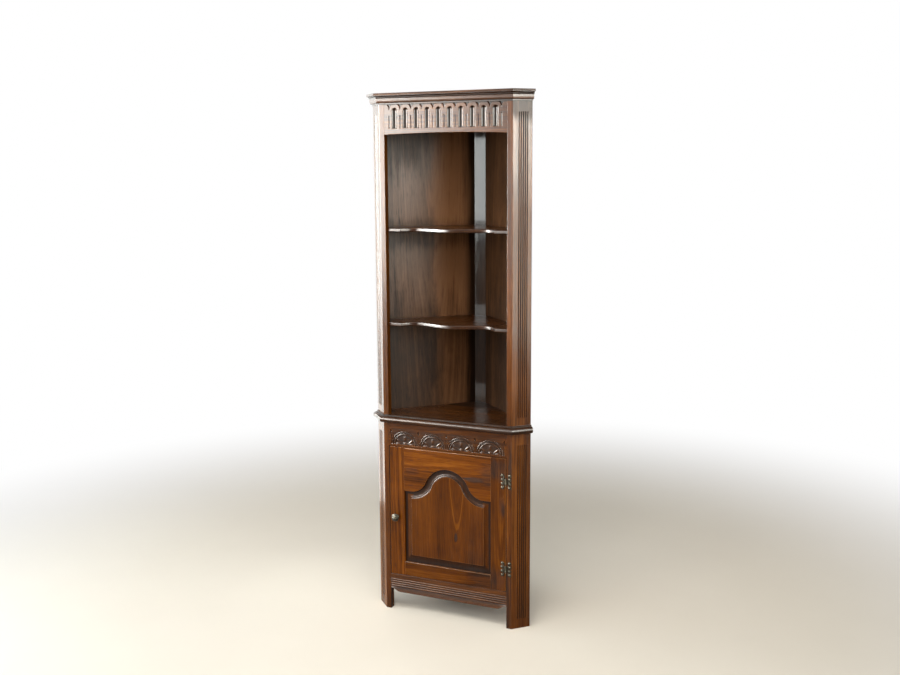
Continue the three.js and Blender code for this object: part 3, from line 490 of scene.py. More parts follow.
wallRun = backDepth / diag - case["cant"]
rightShadeCorners = np.array([1, 0.8, 0.8, 0, 0, 0])   # painted shade, darker towards the right, at each corner of the plan
crown = {"coveFoot": 0.013, "coveWide": 0.007, "coveHigh": 0.0055, "fillet": 0.001, "lip": 0.0225,
         "lipEase": 0.0005, "round": 0.0016, "lean": 0.0009, "aged": 0.55}
cornice = {"footOut": 0.003, "footHigh": 0.005, "toe": 0.0008, "bandFoot": 0.0095, "bandHead": 0.0108,
           "bandLow": 0.0065, "bandHigh": 0.020, "bulge": 0.0009, "neckIn": 0.0006, "neckHigh": 0.0012,
           "back": 0.0001}


# A board with a moulded edge: the profile (out, height) carried round the front and the canted sides.
def addMoulded(name, profile, low, grimeAndShade, worn, aged, finish):
    rings = np.array([overhang(out) for out in profile[:, 0]])
    # Grime and shade on a moulding also takes the painted shade towards the right at each corner.
    marks = {"worn": worn[:, None], "grimeAndShade": np.maximum(grimeAndShade[:, None], rightShadeCorners * aged)}
    addPiece(name, stand(rings, low + profile[:, 1, None]), finish, marks)


# The top board's edge: a hollow, a fillet and an upright lip, as distance out and height.
def makeTopBoard():
    ease, bend, lipFoot = crown["lipEase"], crown["round"], crown["coveHigh"] + crown["fillet"]
    cove = arc((1, 0), 1, 180, 90, 8) * [crown["coveWide"], crown["coveHigh"]] + [crown["coveFoot"], 0]
    lip = arc((crown["lip"] - ease, lipFoot + ease), ease, -90, 0, 3)
    head = arc((crown["lip"] - crown["lean"] - bend, topHigh - topLow - bend), bend, 0, 90, 5)
    profile = np.concatenate([cove, [[cove[-1, 0], lipFoot]], lip, head])
    grimeAndShade, worn = np.zeros((2, len(profile)))
    # Painted shade in the cove under the lip; the lip's rounds are paler, as wear and painted highlight.
    grimeAndShade[:len(cove) + 1] = np.linspace(0.9, 0.35, len(cove) + 1)
    worn[len(cove) + 1:] = [0, 0.3, 0.4, 0.1, 0.1, 0.3, 0.5, 0.4, 0.2, 0]
    addMoulded("topBoard", profile, topLow, grimeAndShade, worn, crown["aged"], oaks["crown"])


# The cornice's section: a small foot, a band that swells as half a sine and a neck under the top board. Each
# length is the section at its two mitred ends. Right shade is painted shade added at each end, darker towards
# the right.
def makeCornice():
    base = heights("cornice_front")[0]
    head, toe, back = topLow - base, cornice["toe"], cornice["back"]
    share = np.linspace(0, 1, 11)
    swell = cornice["bulge"] * np.sin(np.pi * share)
    band = np.stack([cornice["bandFoot"] + (cornice["bandHead"] - cornice["bandFoot"]) * share + swell,
                     cornice["bandLow"] + (cornice["bandHigh"] - cornice["bandLow"]) * share], -1)
    foot = arc((cornice["footOut"] - toe, toe), toe, -90, 0, 3)
    neck = [[crown["coveFoot"] - cornice["neckIn"], head - cornice["neckHigh"]], [crown["coveFoot"], head]]
    profile = np.concatenate([[[back, 0]], foot, [[cornice["footOut"], cornice["footHigh"]]], band, neck,
                              [[back, head]]])
    grimeAndShade, worn = np.zeros((2, len(profile)))
    # Painted shadow lines at the back, over the foot and under the top board; the band's swell is paler, as
    # painted highlight and wear.
    grimeAndShade[[0, 4, 5, -3, -2]] = (0.8, 0.9, 0.5, 0.6, 0.9)
    worn[5:5 + len(band)] = 0.1 + 0.25 * np.sin(np.pi * share)
    out, flip = profile[:, 0], [-1, 1]
    arris, wall = np.stack([halfFront + out * mitre, -out], -1), wing(case["cant"], -out)
    for word, ends, finish, aged in (("Front", (arris, arris * flip), "frieze", (0.55, 0)),
                                     ("Right", (wall, arris), "mouldingRight", (0.3, 0.3)),
                                     ("Left", (arris * flip, wall * flip), "mouldingLeft", (0, 0))):
        marks = {"worn": worn, "grimeAndShade": np.clip(grimeAndShade + np.reshape(aged, (2, 1)), 0, 1)}
        addPiece("cornice" + word, stand(np.array(ends), base + profile[:, 1]), oaks[finish], marks)


makeTopBoard()
makeCornice()
print("top board and cornice made")


# Upper frieze: a row of gouged flutes with round heads, fine grooves and sunk spandrels between them

flutes = {"count": 10, "margin": 0.0195, "wide": 0.0185, "deep": 0.0058, "foot": 0.021, "high": 0.067,
          "bowl": 0.8, "divideWide": 0.0030, "divideDeep": 0.0022, "divideHigh": 0.043, "archGap": 0.0009,
          "archDrop": 0.0054, "archSoft": 0.0014, "sunk": 0.0032, "archRise": 0.005, "lip": 0.0012,
          "step": 0.0009}


# The soffit rises to the middle as a parabola. A flute is a bowl: 1 less the square of the distance from its
# middle line, or from the middle of its round head, over the square of its half width, to a power. The
# grooves are half rounds, and a spandrel lies outside an arch's radius.
def makeUpperFrieze():
    foot, top = heights("upper_frieze_rail")
    under = heights("cornice_front")[0]
    x = np.linspace(-openHalf, openHalf, int(2 * openHalf / flutes["step"]))
    soffit = (foot + flutes["archRise"] * (1 - (x / openHalf) ** 2))[:, None]
    band = foot + flutes["foot"] - 0.002
    rows = np.arange(band, under + 0.001, flutes["step"])
    z = np.concatenate([soffit + (band - soffit) * [0, 0.05, 0.15, 0.35],
                        np.broadcast_to(rows, (len(x), len(rows))), np.full((len(x), 1), top)], 1)
    rowHalf = openHalf - flutes["margin"]
    pitch, half = 2 * rowHalf / flutes["count"], flutes["wide"] / 2
    flute = ((x / pitch - 0.5 - np.floor(x / pitch)) * pitch)[:, None]
    side = np.abs(x)[:, None]
    inRow = side < rowHalf
    base, head = foot + flutes["foot"], foot + flutes["foot"] + flutes["high"]
    past = np.maximum(z - (head - half), 0)
    scoop = np.clip(1 - (flute ** 2 + past ** 2) / half ** 2, 0, 1) ** flutes["bowl"]
    scoop = scoop * rise(z, base - 0.0002, base + 0.0012) * inRow
    divideTop = base + flutes["divideHigh"]
    slit = halfRound((pitch / 2 - np.abs(flute)) / (flutes["divideWide"] / 2))
    slit = slit * rise(z, base, base + 0.002) * (1 - rise(z, divideTop - 0.003, divideTop))
    slit = slit * (side < rowHalf + flutes["divideWide"])
    spring = head - flutes["archDrop"]
    away = np.hypot(flute, np.maximum(z - spring, 0)) - (pitch / 2 - flutes["archGap"])
    notch = rise(away, 0, flutes["archSoft"]) * (z > spring) * (side < rowHalf + 0.006)
    depth = scoop * flutes["deep"] + slit * flutes["divideDeep"] + notch * flutes["sunk"]
    # Painted shade: the left wall of each flute, the grooves, the sunk spandrels, a band under the cornice,
    # and the frieze darker towards the right.
    shaded = np.clip(scoop * 4, 0, 1) * (0.1 + 0.88 * rise(-flute, -0.0034, 0.0008))
    shadeTowardsRight = 0.35 * rise(x, 0, openHalf)[:, None] * rise(z, base - 0.004, base + 0.004)
    grimeAndShade = np.clip(shaded + slit * 0.9 + notch * 0.8 + shadeTowardsRight + rise(z, under - 0.004, under) * 0.6, 0, 1)
    lip = bell(np.hypot(flute, past) - half - 0.0008, flutes["lip"]) * (z > base)
    addCarved("upperFrieze", x, z, depth, grimeAndShade, lip * inRow * (1 - grimeAndShade), oaks["frieze"])


makeUpperFrieze()


# Lower frieze: four lunettes. Two beads arch over five raised petals and a bud; a fine groove runs round each
# arch, and a small leaf and two upright cuts are made between the arches.

lunettes = {
    "count": 4, "margin": 0.0075, "foot": 0.0075, "radius": 0.0486, "bead": 0.0042, "inner": 0.0382,
    "ground": 0.0030, "field": 0.0030, "petalHigh": 0.0026,
    # each petal's foot (to the side and up), lean, length, half width and share of the full height
    "petals": ((0.013, 0.003, 40, 0.0235, 0.0036, 1.0), (0.017, 0.003, -3, 0.0185, 0.0028, 1.0),
               (-0.006, 0.0055, 0, 0.012, 0.0030, 1.0), (-0.013, 0.003, 140, 0.0235, 0.0036, 0.4),
               (-0.017, 0.003, 183, 0.0185, 0.0028, 0.4)),
    "budFrom": 0.0110, "budTo": 0.0340, "budWide": 0.0045, "budHigh": 0.0012, "grooveWide": 0.0013,
    "grooveDeep": 0.0017, "dartWide": 0.0034, "dartDeep": 0.0030, "dartFoot": 0.0395, "dartTop": 0.0525,
    "post": 0.0017, "postWide": 0.0006, "postDeep": 0.0020, "postTop": 0.0335, "step": 0.00062,
    "bandTop": 0.0635}


# Height of a petal, 1 on its crest: a half round across it, whose width grows along it as the root of a sine.
def ridge(u, v, lean, long, wide):
    along = u * math.cos(lean) + v * math.sin(lean)
    across = -u * math.sin(lean) + v * math.cos(lean)
    share = np.clip(along / long, 0, 1)
    width = wide * np.sqrt(np.clip(np.sin(np.pi * share ** 1.5), 1e-9, 1))
    return halfRound(across / width) * (width / wide)


# Depth over (u, v), measured in each arch from the middle of its foot: half round beads along two radii, a
# sunk field that petals and bud stand up from, and half round cuts outside.
def makeLowerFrieze():
    low, top = heights("lower_frieze_rail")
    x = np.linspace(-openHalf, openHalf, int(2 * openHalf / lunettes["step"]))
    rows = np.concatenate([[low, low + 0.0003, low + 0.0009, low + 0.003],
                           np.arange(low + 0.004, low + lunettes["bandTop"] + 0.003, lunettes["step"]),
                           [top - 0.01, top]])
    z = np.broadcast_to(rows, (len(x), len(rows)))
    count, bead, outer = lunettes["count"], lunettes["bead"], lunettes["radius"]
    pitch = 2 * (openHalf - lunettes["margin"]) / count
    cell = np.clip(np.floor(x / pitch), -count / 2, count / 2 - 1)
    u = (x - (cell + 0.5) * pitch)[:, None]
    v = z - (low + lunettes["foot"])
    r = np.hypot(u, v)
    crests = (outer - bead / 2, lunettes["inner"])
    beads = np.max([halfRound((r - radius) / (bead / 2)) for radius in crests], 0)
    petal = np.max([ridge(u - aside, v - up, math.radians(lean), long, wide) * share
                    for aside, up, lean, long, wide, share in lunettes["petals"]], 0)
    budFrom, budTo = lunettes["budFrom"], lunettes["budTo"]
    bud = bell(u, lunettes["budWide"]) * rise(v, budFrom, budFrom + 0.007)
    bud = bud * (1 - rise(v, budTo - 0.012, budTo))
    inArch, inLunette = r < lunettes["inner"] - bead / 2, r < outer
    field = lunettes["field"] - np.maximum(petal * lunettes["petalHigh"], bud * lunettes["budHigh"])
    halfGroove, postWide = lunettes["grooveWide"] / 2, lunettes["postWide"]
    around = np.clip(1 - np.abs(r - outer - halfGroove) / halfGroove, 0, 1) ** 0.5
    side = np.abs(u) - pitch / 2
    share = np.clip((v - lunettes["dartFoot"]) / (lunettes["dartTop"] - lunettes["dartFoot"]), 0, 1)
    dart = halfRound(side / (lunettes["dartWide"] * np.sin(np.pi * share ** 0.7) + 1e-6))
    post = np.clip(1 - np.abs(np.abs(side) - lunettes["post"] - postWide) / postWide, 0, 1)
    post = post * (v < lunettes["postTop"])
    outside = np.max([around * lunettes["grooveDeep"], dart * lunettes["dartDeep"],
                      post * lunettes["postDeep"]], 0)
    band = rise(v, -0.0004, 0.0006) * (np.abs(x) < openHalf - lunettes["margin"] + 0.001)[:, None]
    band = band * (v < lunettes["bandTop"] - lunettes["foot"])
    depth = np.where(inLunette, np.where(inArch, field, lunettes["ground"] * (1 - beads)), outside) * band
    # Painted shade in the sunk field, between the beads and in the cuts outside, with glaze over the
    # spandrels except where it is rubbed off.
    dark = np.where(inArch, 0.85 - petal * 0.8 - bud * 0.3, 0.9 - 0.5 * beads)
    patch = np.exp(-(side / 0.011) ** 2 - ((v - 0.046) / 0.009) ** 2)   # where old glaze is rubbed off
    cuts = np.max([around, dart, post, 0.42 - 0.42 * patch], 0)
    grimeAndShade = np.clip(np.where(inLunette, dark, cuts) * band, 0, 1)
    # The petal crests and beads are paler as painted highlights and wear, the right petals most.
    rubbedAndHighlight = np.where(inArch, petal ** 2 * 1.5, beads ** 3 * 0.6)
    between = bell(side, 0.0012) * (v < lunettes["postTop"]) * 0.8 + patch * 0.4
    worn = np.clip(np.where(inLunette, rubbedAndHighlight, between) * band, 0, 1)
    addCarved("lowerFrieze", x, z, depth, grimeAndShade, worn, oaks["rail"])


makeLowerFrieze()
print("carved friezes made")


# Stiles and canted boards

def halfArris(start, end):   # part of the rounded front arris, angles in degrees
    reach = case["arris"]
    return arc((halfFront - reach * mitre, reach), reach, start, end, 3)


# An upright stile: its plan outline at its foot and its head. On the lower stiles the rounded edge beside the
# door is painted dark, as shade in the gap.
def addStile(name, side, low, high, finish):
    ease, deep = case["ease"], case["stileDepth"]
    inner = arc((openHalf + ease, ease), ease, 180, 270, 4)
    backCorner = [(halfFront - deep * mitre, deep), (openHalf, deep)]
    outline = np.concatenate([inner, halfArris(-90, -67.5), backCorner])
    grimeAndShade = (np.arange(len(outline)) < len(inner) - 1) * float(name.startswith("lower"))
    worn = np.concatenate([np.sin(np.linspace(0, np.pi, 5)), np.sin(np.linspace(0, np.pi / 2, 4)), [0, 0]])
    worn = worn * (1 - grimeAndShade)
    if side < 0:
        outline, worn, grimeAndShade = mirrored(outline), worn[::-1], grimeAndShade[::-1]
    addPiece(name, stand(outline, [[low], [high]]), finish, {"worn": worn, "grimeAndShade": grimeAndShade})


reeds = {"start": 0.0223, "pitch": 0.0076, "count": 5, "deep": 0.0026, "wall": 0.0013, "end": 0.006,
         "backEdge": 0.0015, "step": 0.00035}


# Depth of the reeds across the canted face: broad low crowns between narrow grooves, with a steep wall
# outside. Over one reed the depth grows as the fourth power of the distance from its crown.
def reedDepth(along):
    place = (along - reeds["start"]) / reeds["pitch"]
    between = np.abs(place - np.floor(place) - 0.5) * 2
    outside = np.maximum(-place, place - reeds["count"] + 1) * reeds["pitch"]
    return reeds["deep"] * np.where(outside <= 0, between ** 4, np.clip(1 - outside / reeds["wall"], 0, 1))


# A canted board: its plan outline carried up, with the reeds cut in square to the canted face. At each end
# they run out as a quarter of a sine.
def addCanted(name, side, low, high, reedLow, reedHigh, finish):
    cant, board, soft, spare = case["cant"], case["board"], reeds["backEdge"], 2 * reeds["wall"]
    inRebate, onPanel = board - case["rebate"], cant - case["panel"]
    last = reeds["start"] + (reeds["count"] - 1) * reeds["pitch"]
    along = np.arange(reeds["start"] - spare, last + spare, reeds["step"])
    arris = halfArris(-67.5, -45)
    edge = wing(*np.moveaxis(arc((cant - soft, soft), soft, -90, 0, 4), -1, 0))
    rest = [wing(cant, inRebate), wing(onPanel, inRebate), wing(onPanel, board), wing(board * mitre, board)]
    outline = np.concatenate([arris, wing(along, 0), edge, rest])
    cut, worn = np.zeros((2, len(outline)))
    start, end = len(arris), len(arris) + len(along)
    cut[start:end] = reedDepth(along)
    worn[:start] = np.sin(np.linspace(np.pi / 2, np.pi, len(arris)))
    # The reed crowns are paler, as painted highlights and wear.
    worn[start:end] = 0.6 * (1 - reedDepth(along) / reeds["deep"]) ** 3
    worn[end:-len(rest)] = np.sin(np.linspace(0, np.pi, len(edge)))
    turn = np.linspace(0, np.pi / 2, 8)
    swell, climb = np.sin(turn), (1 - np.cos(turn)) * reeds["end"]
    levels = np.concatenate([[low], reedLow + climb, reedHigh - climb[::-1], [high]])
    fade = np.concatenate([[0], swell, swell[::-1], [0]])[:, None]
    plan = outline + (cut * fade)[..., None] * [-diag, diag]
    # The grooves are darkened as painted shade.
    grimeAndShade = np.clip(cut * fade / reeds["deep"] * 4, 0, 1)
    worn = worn * np.where(cut > 0, fade, 1)
    if side < 0:
        plan, grimeAndShade, worn = plan[:, ::-1] * [-1, 1], grimeAndShade[:, ::-1], worn[:, ::-1]
    addPiece(name, stand(plan, levels[:, None]), finish, {"grimeAndShade": grimeAndShade, "worn": worn}, sharp=50)


reedEnds = {"upper": (0.025, 0.055), "lower": (0.032, 0.038)}   # from the foot and from the head
for part, (foot, head) in reedEnds.items():
    low, high = heights(part + "_stile_left")
    for side, word in ((-1, "Left"), (1, "Right")):
        addStile(part + "Stile" + word, side, low, high, oaks["stile" + word])
        addCanted(part + "CantedBoard" + word, side, low, high, low + foot, high - head,
                  oaks["canted" + word])
print("stiles and canted boards made")


# Waist board, shelves and plinth

nose = {"radius": 0.0115, "centre": 0.006, "fillet": 0.0042, "ease": 0.0006, "steps": 20, "aged": 0.45}


# The waist board's edge: a half round nose under a low fillet.
def makeWaist():
    curve = arc((nose["centre"], nose["radius"]), nose["radius"], -90, 90, nose["steps"])
    top, out, ease = waistTop - waistLow, nose["fillet"], nose["ease"]
    profile = np.concatenate([curve, [(out, 2 * nose["radius"]), (out, top - ease), (out - ease, top)]])
    share = np.linspace(-1, 1, len(curve))
    # Painted shade under the nose and where it meets the fillet; its crown is paler, as painted highlight and
    # wear.
    grimeAndShade = np.append(np.clip(np.abs(share) * 4 - 3.2, 0, 1), [0.5, 0.1, 0])
    worn = np.append(0.05 + 0.2 * np.exp(-(share - 0.15) ** 2 * 6), [0, 0.2, 0.1])
    addMoulded("waistBoard", profile, waistLow, grimeAndShade, worn, nose["aged"], oaks["board"])


shelf = {"setback": 0.013, "land": 0.048, "quirk": 0.003, "valley": 0.049, "valleyHalf": 0.125, "rim": 0.004,
         "strip": 0.0212, "gap": 0.0003}


# The shelf's plan: from the middle a swell of half a cosine out to the valley, a short cove back out to a
# quirk, and a straight land to the stile; then behind the stile and along the wall to the back strip.
def shelfOutline():
    valley, landStart = shelf["valleyHalf"], openHalf - shelf["land"]
    t = np.linspace(0, 1, 40)
    drop = (shelf["valley"] - shelf["setback"]) * (1 - np.cos(np.pi * t)) / 2
    swell = np.stack([valley * t, shelf["setback"] + drop], -1)
    turn = np.linspace(np.pi / 2, 0, 18)[1:]
    coveTop = shelf["setback"] + shelf["quirk"]
    cove = np.stack([valley + (landStart - valley) * (1 - turn / (np.pi / 2)),
                     coveTop + (shelf["valley"] - coveTop) * np.sin(turn)], -1)
    gap, board, deep, inside = shelf["gap"], case["board"], case["stileDepth"], case["cant"] - case["panel"]
    side, behind = openHalf - gap, board + gap
    land = [(landStart, shelf["setback"]), (side, shelf["setback"]), (side, deep + gap)]
    alongWall = [wing((deep + gap) / diag - behind, behind), wing(inside - gap, behind),
                 (shelf["strip"], halfFront + 2 * inside * diag - shelf["strip"] - 2 * gap)]
    right = np.concatenate([swell, cove, land, alongWall])
    return np.concatenate([right, mirrored(right[1:])])


def addShelf(name):   # worn along the edges that are seen
    low, high = heights(nodeName(name))
    outline = shelfOutline()
    side, behind = np.abs(outline[:, 0]), outline[:, 1]
    plan, level, worn = boardLevels(outline, low, high, shelf["rim"], 6)
    shown = (behind < case["stileDepth"]) | (side < openHalf - shelf["gap"] / 2) & (behind < 0.06)
    addPiece(name, stand(plan, level), oaks["shelf"], {"worn": worn * shown * 0.3})


plinth = {"reedTop": 0.0165, "pitch": 0.0079, "count": 4, "deep": 0.0026, "quirk": 0.0004, "endRise": 0.012,
          "endWide": 0.036}


# The plinth rail's section (out, height) carried across the front; its lower edge sweeps up at the ends.
def makePlinth():
    low, top = heights("plinth_rail")
    reedTop, pitch, ease, back = top - plinth["reedTop"], plinth["pitch"], case["ease"], -case["rail"]
    share = np.linspace(0, 1, 12, endpoint=False)
    reedHigh = np.concatenate([reedTop - pitch * (plinth["count"] - i) + pitch * share
                               for i in range(plinth["count"])] + [[reedTop]])
    between = np.append(np.tile(np.abs(share - 0.5) * 2, plinth["count"]), 1)
    reedOut = -plinth["deep"] * between ** 2.5
    foot, head = arc((-ease, ease), ease, -90, 0, 3), arc((-ease, top - ease), ease, 0, 90, 3)
    section = np.concatenate([[(back, 0)], foot, np.stack([reedOut, reedHigh], -1),
                              [(0, reedTop + plinth["quirk"])], head, [(back, top)]])
    start, wide = len(foot) + 1, plinth["endWide"]
    end, turn = openHalf - wide, wide * np.linspace(0, 0.97, 22)
    x = np.concatenate([[-openHalf], -end - turn[::-1], end + turn, [openHalf]])
    sweep = low + plinth["endRise"] * (1 - np.cos(np.pi * np.clip((np.abs(x) - end) / wide, 0, 1))) / 2
    below = np.arange(len(section)) < start
    z = section[:, 1] + np.where(below, sweep[:, None], 0)
    points = np.stack(np.broadcast_arrays(x[:, None], frontY - section[:, 0], z), -1)[::-1]
    grimeAndShade, worn = np.zeros((2, len(section)))
    # The grooves are darkened as painted shade; the reed crowns and the rounded edges are paler, as painted
    # highlights and wear.
    grimeAndShade[start:start + len(between)] = between ** 3 * 0.9
    worn[start:start + len(between)] = (1 - between) ** 2 * 0.4
    worn[1:start] = (0.2, 0.7, 0.7, 0.2)
    worn[-5:-1] = (0.3, 0.9, 0.9, 0.3)
    addPiece("plinthRail", points, oaks["plinth"], {"grimeAndShade": grimeAndShade, "worn": worn}, sharp=50)


makeWaist()
addShelf("upperShelf")
addShelf("middleShelf")
makePlinth()
print("waist, shelves and plinth made")


# Door

door = {"stile": 0.0555, "foot": 0.0505, "crownRail": 0.063, "rise": 0.0925, "crown": 0.086,
        "shoulder": 0.0265, "thick": 0.020, "rim": 0.0007, "outerRim": 0.0016, "footRim": 0.0024,
        "archRim": 0.0012, "topRim": 0.0034, "corner": 0.0018, "footCorner": 0.0026, "footBlend": 0.010}
panel = {"setback": 0.0072, "back": 0.0128, "tongue": 0.0074, "flat": 0.009, "cove": 0.017,
         "coveDeep": 0.0036, "bead": 0.0004, "beadAt": 0.45, "step": 0.0012, "soft": 0.0004, "land": 0.003}
archFoot = doorHigh - door["crownRail"] - door["rise"]
innerHalf = doorHalf - door["stile"]
footTop = doorLow + door["foot"]


# The head of the panel opening, from right to left: a crown arc between two coves that meet it at a
# tangent. Grow moves it out; an arc and its cove keep their centres.
def archHead(grow):
    half, climb, crownRadius = innerHalf - door["shoulder"], door["rise"], door["crown"]
    coveRadius = (half ** 2 + climb ** 2 - 2 * climb * crownRadius) / (2 * climb)
    crownCentre, coveCentre = (0, archFoot + climb - crownRadius), (half, archFoot + coveRadius)
    lean = math.degrees(math.atan2(coveCentre[1] - crownCentre[1], half))
    right = arc(coveCentre, coveRadius - grow, -90, lean - 180, 24)
    top = arc(crownCentre, crownRadius + grow, lean, 180 - lean, 48)
    return np.concatenate([right, top[1:-1], mirrored(right)])


def opening(grow):   # the whole opening from its lower left corner, anticlockwise
    side, low, shoulder = innerHalf + grow, footTop - grow, archFoot + grow
    above = low + door["footBlend"]
    return np.concatenate([[(-side, low), (side, low), (side, above), (side, shoulder)], archHead(grow),
                           [(-side, shoulder), (-side, above)]])


def addRail(name, outline, rim, finish):   # a board of the door's frame, paler where its rim is rounder, as wear and painted highlight
    plan, level, worn = boardLevels(outline, -door["thick"], 0, rim)
    addPiece(name, face(plan, level), oaks[finish], {"worn": worn * (0.5 + 1.5 * (rim > door["rim"]))},
             "door")


# Stiles and rails are their outlines in elevation, with each edge rounded by its own rim.
def makeDoorFrame():
    rim, topRim, corner, footCorner = (door[key] for key in ("rim", "topRim", "corner", "footCorner"))
    for word, flip in (("Left", mirrored), ("Right", np.asarray)):
        corners = [(innerHalf, doorLow), (doorHalf, doorLow), (doorHalf, doorHigh), (innerHalf, doorHigh)]
        outline, _ = eased(flip(corners), (rim, corner, corner, rim))
        outer = np.abs(outline[:, 0]) > innerHalf + 0.01
        addRail("doorStile" + word, outline, np.where(outer, door["outerRim"], rim), "door" + word)
    corners = [(-innerHalf, doorLow), (innerHalf, doorLow), (innerHalf, footTop), (-innerHalf, footTop)]
    outline, _ = eased(corners, (rim, rim, footCorner, footCorner))
    upper = outline[:, 1] > doorLow + door["foot"] / 2
    addRail("doorBottomRail", outline, np.where(upper, door["footRim"], rim), "doorFoot")
    nearTop = doorHigh - 2 * topRim
    outline = np.concatenate([[(-innerHalf, archFoot)], archHead(0)[::-1],
                              [(innerHalf, archFoot), (innerHalf, nearTop), (innerHalf, doorHigh),
                               (-innerHalf, doorHigh), (-innerHalf, nearTop)]])
    onTop, onArch = outline[:, 1] > doorHigh - topRim, outline[:, 1] < doorHigh - 0.02
    rims = np.where(onTop, topRim, np.where(onArch, door["archRim"], rim))
    addRail("doorTopRail", outline, rims, "doorRail")


# The raised panel: a flat border, a hollow that climbs as a quarter ellipse with a low bead along its
# middle, a small step and the field.
def makePanel():
    setback, flat, coveWide, soft = (panel[key] for key in ("setback", "flat", "cove", "soft"))
    tongue = panel["tongue"]
    border = [(tongue, -panel["back"]), (tongue, -setback), (0, -setback), (-flat * 0.5, -setback)]
    turn, share = np.linspace(0, np.pi / 2, 28), np.linspace(0, 1, 28)
    bead = panel["bead"] * bell(turn / (np.pi / 2) - panel["beadAt"], 0.12)
    cove = np.stack([-flat - coveWide * np.sin(turn),
                     -setback + panel["coveDeep"] * (1 - np.cos(turn)) + bead], -1)
    inner, lift = -flat - coveWide, -setback + panel["coveDeep"] + panel["step"]
    field = [(inner, lift - soft), (inner - soft, lift), (inner - panel["land"], lift)]
    levels = np.concatenate([border, cove, field])
    last = opening(inner)
    rings = np.array([opening(grow) for grow in levels[:-2, 0]]
                     + [last + mitres(last) * (grow - inner) for grow in levels[-2:, 0]])
    # Painted shade on the sunk border, and glaze with painted shade in the cove, lighter up the sides; the
    # step's arris is paler, as a painted highlight line.
    grimeAndShade = np.concatenate([[0, 0, 1, 1], 0.95 - 0.15 * np.sin(np.pi * share) ** 2, [0.6, 0, 0]])[:, None]
    worn = np.append(np.zeros(len(levels) - 3), [0.4, 0.9, 0])[:, None]
    height = rings[..., 1]
    onSide = (height > height[:, :1] + door["footBlend"] / 2) & (height < height[:, 3:4] + 0.0001)
    onCove = np.arange(len(levels))[:, None] >= len(border) + 2
    marks = {"grimeAndShade": grimeAndShade * np.where(onSide & onCove, 0.35, 1), "worn": worn}
    addPiece("doorPanel", face(rings, levels[:, 1, None]), oaks["panel"], marks, "door", sharp=45)


makeDoorFrame()
makePanel()
print("door made")


# Knob, hinges and catch

# A turned surface: the profile (radius, height) about an axis, closed on the axis at both ends.
def turnedPoints(profile, sides):
    angle = np.linspace(0, 2 * np.pi, sides, endpoint=False)
    radius, height = profile[:, 0, None], profile[:, 1, None]
    return np.stack(np.broadcast_arrays(radius * np.cos(angle), radius * np.sin(angle), height), -1)


def towardsFront(points, centre):   # turns a height along +Z to stand out of the front
    return np.stack([points[..., 0] + centre[0], centre[1] - points[..., 2], points[..., 1] + centre[2]], -1)


knob = {"radius": 0.0140, "reach": 0.0205, "inset": 0.025, "height": 0.2115, "petals": 8, "petalDeep": 0.0007,
        "sides": 64, "points": 90,
        "profile": ((0.64, -0.02), (0.66, 0.03), (0.62, 0.09), (0.42, 0.16), (0.36, 0.28), (0.42, 0.40),
                    (0.70, 0.47), (0.93, 0.54), (1.0, 0.62), (1.0, 0.69), (0.95, 0.76), (0.86, 0.79),
                    (0.80, 0.78), (0.72, 0.80), (0.60, 0.88), (0.45, 0.95), (0.30, 0.985), (0.15, 1.0),
                    (0.04, 1.0))}


# The knob is a turned profile, given as shares of its radius and reach and smoothed three times. Petals are a
# cosine round the face, between two places counted along the profile.
def makeKnob():
    centre = (-doorHalf + knob["inset"], frontY, doorLow + knob["height"])
    shares = np.array(knob["profile"])
    fine = np.linspace(0, len(shares) - 1, knob["points"])
    profile = np.stack([np.interp(fine, np.arange(len(shares)), part) for part in shares.T], -1)
    for _ in range(3):
        profile[1:-1] = (profile[:-2] + 2 * profile[1:-1] + profile[2:]) / 4
    points = turnedPoints(profile * [knob["radius"], knob["reach"]], knob["sides"])
    petal = np.cos(knob["petals"] * np.linspace(0, 2 * np.pi, knob["sides"], endpoint=False))
    fine = fine[:, None]
    onFace = rise(fine, 11.5, 14) * (1 - rise(fine, 15.5, 17))
    points[..., 2] += onFace * knob["petalDeep"] * petal
    grimeAndShade = np.clip(bell(fine - 12, 0.8) + bell(fine - 4, 1.6), 0, 1)
    grimeAndShade = np.maximum(grimeAndShade, onFace * 0.6 * (petal < -0.2))
    worn = np.clip(bell(fine - 8.8, 1.6) + 0.8 * bell(fine - 16.5, 2.2), 0, 1)
    addPiece("knobTurned", towardsFront(points, centre), brass, {"grimeAndShade": grimeAndShade, "worn": worn},
             "door", "knob", sharp=80)


hinges = {"barrel": 0.00325, "barrelEase": 0.0005, "length": 0.022, "gap": 0.0003, "thick": 0.0015,
          "dome": 0.0011, "waist": 0.0085, "barFrom": 0.0060, "barTo": 0.0105, "lobe": 0.0056,
          "lobeOut": 0.0134, "pitch": 0.014, "ring": 0.0005, "step": 0.00032, "blend": 0.0012, "rim": 0.0014,
          "pin": 0.00125, "pinHead": 0.0024, "ball": 0.0012}
lobes = np.array((-1.5, -0.5, 0.5, 1.5)) * hinges["pitch"]   # heights of the four lobes' middles


def joined(first, second, soft):   # the nearer of two distances, with a soft fillet where they meet
    share = np.clip(0.5 + 0.5 * (second - first) / soft, 0, 1)
    return second + (first - second) * share - soft * share * (1 - share)


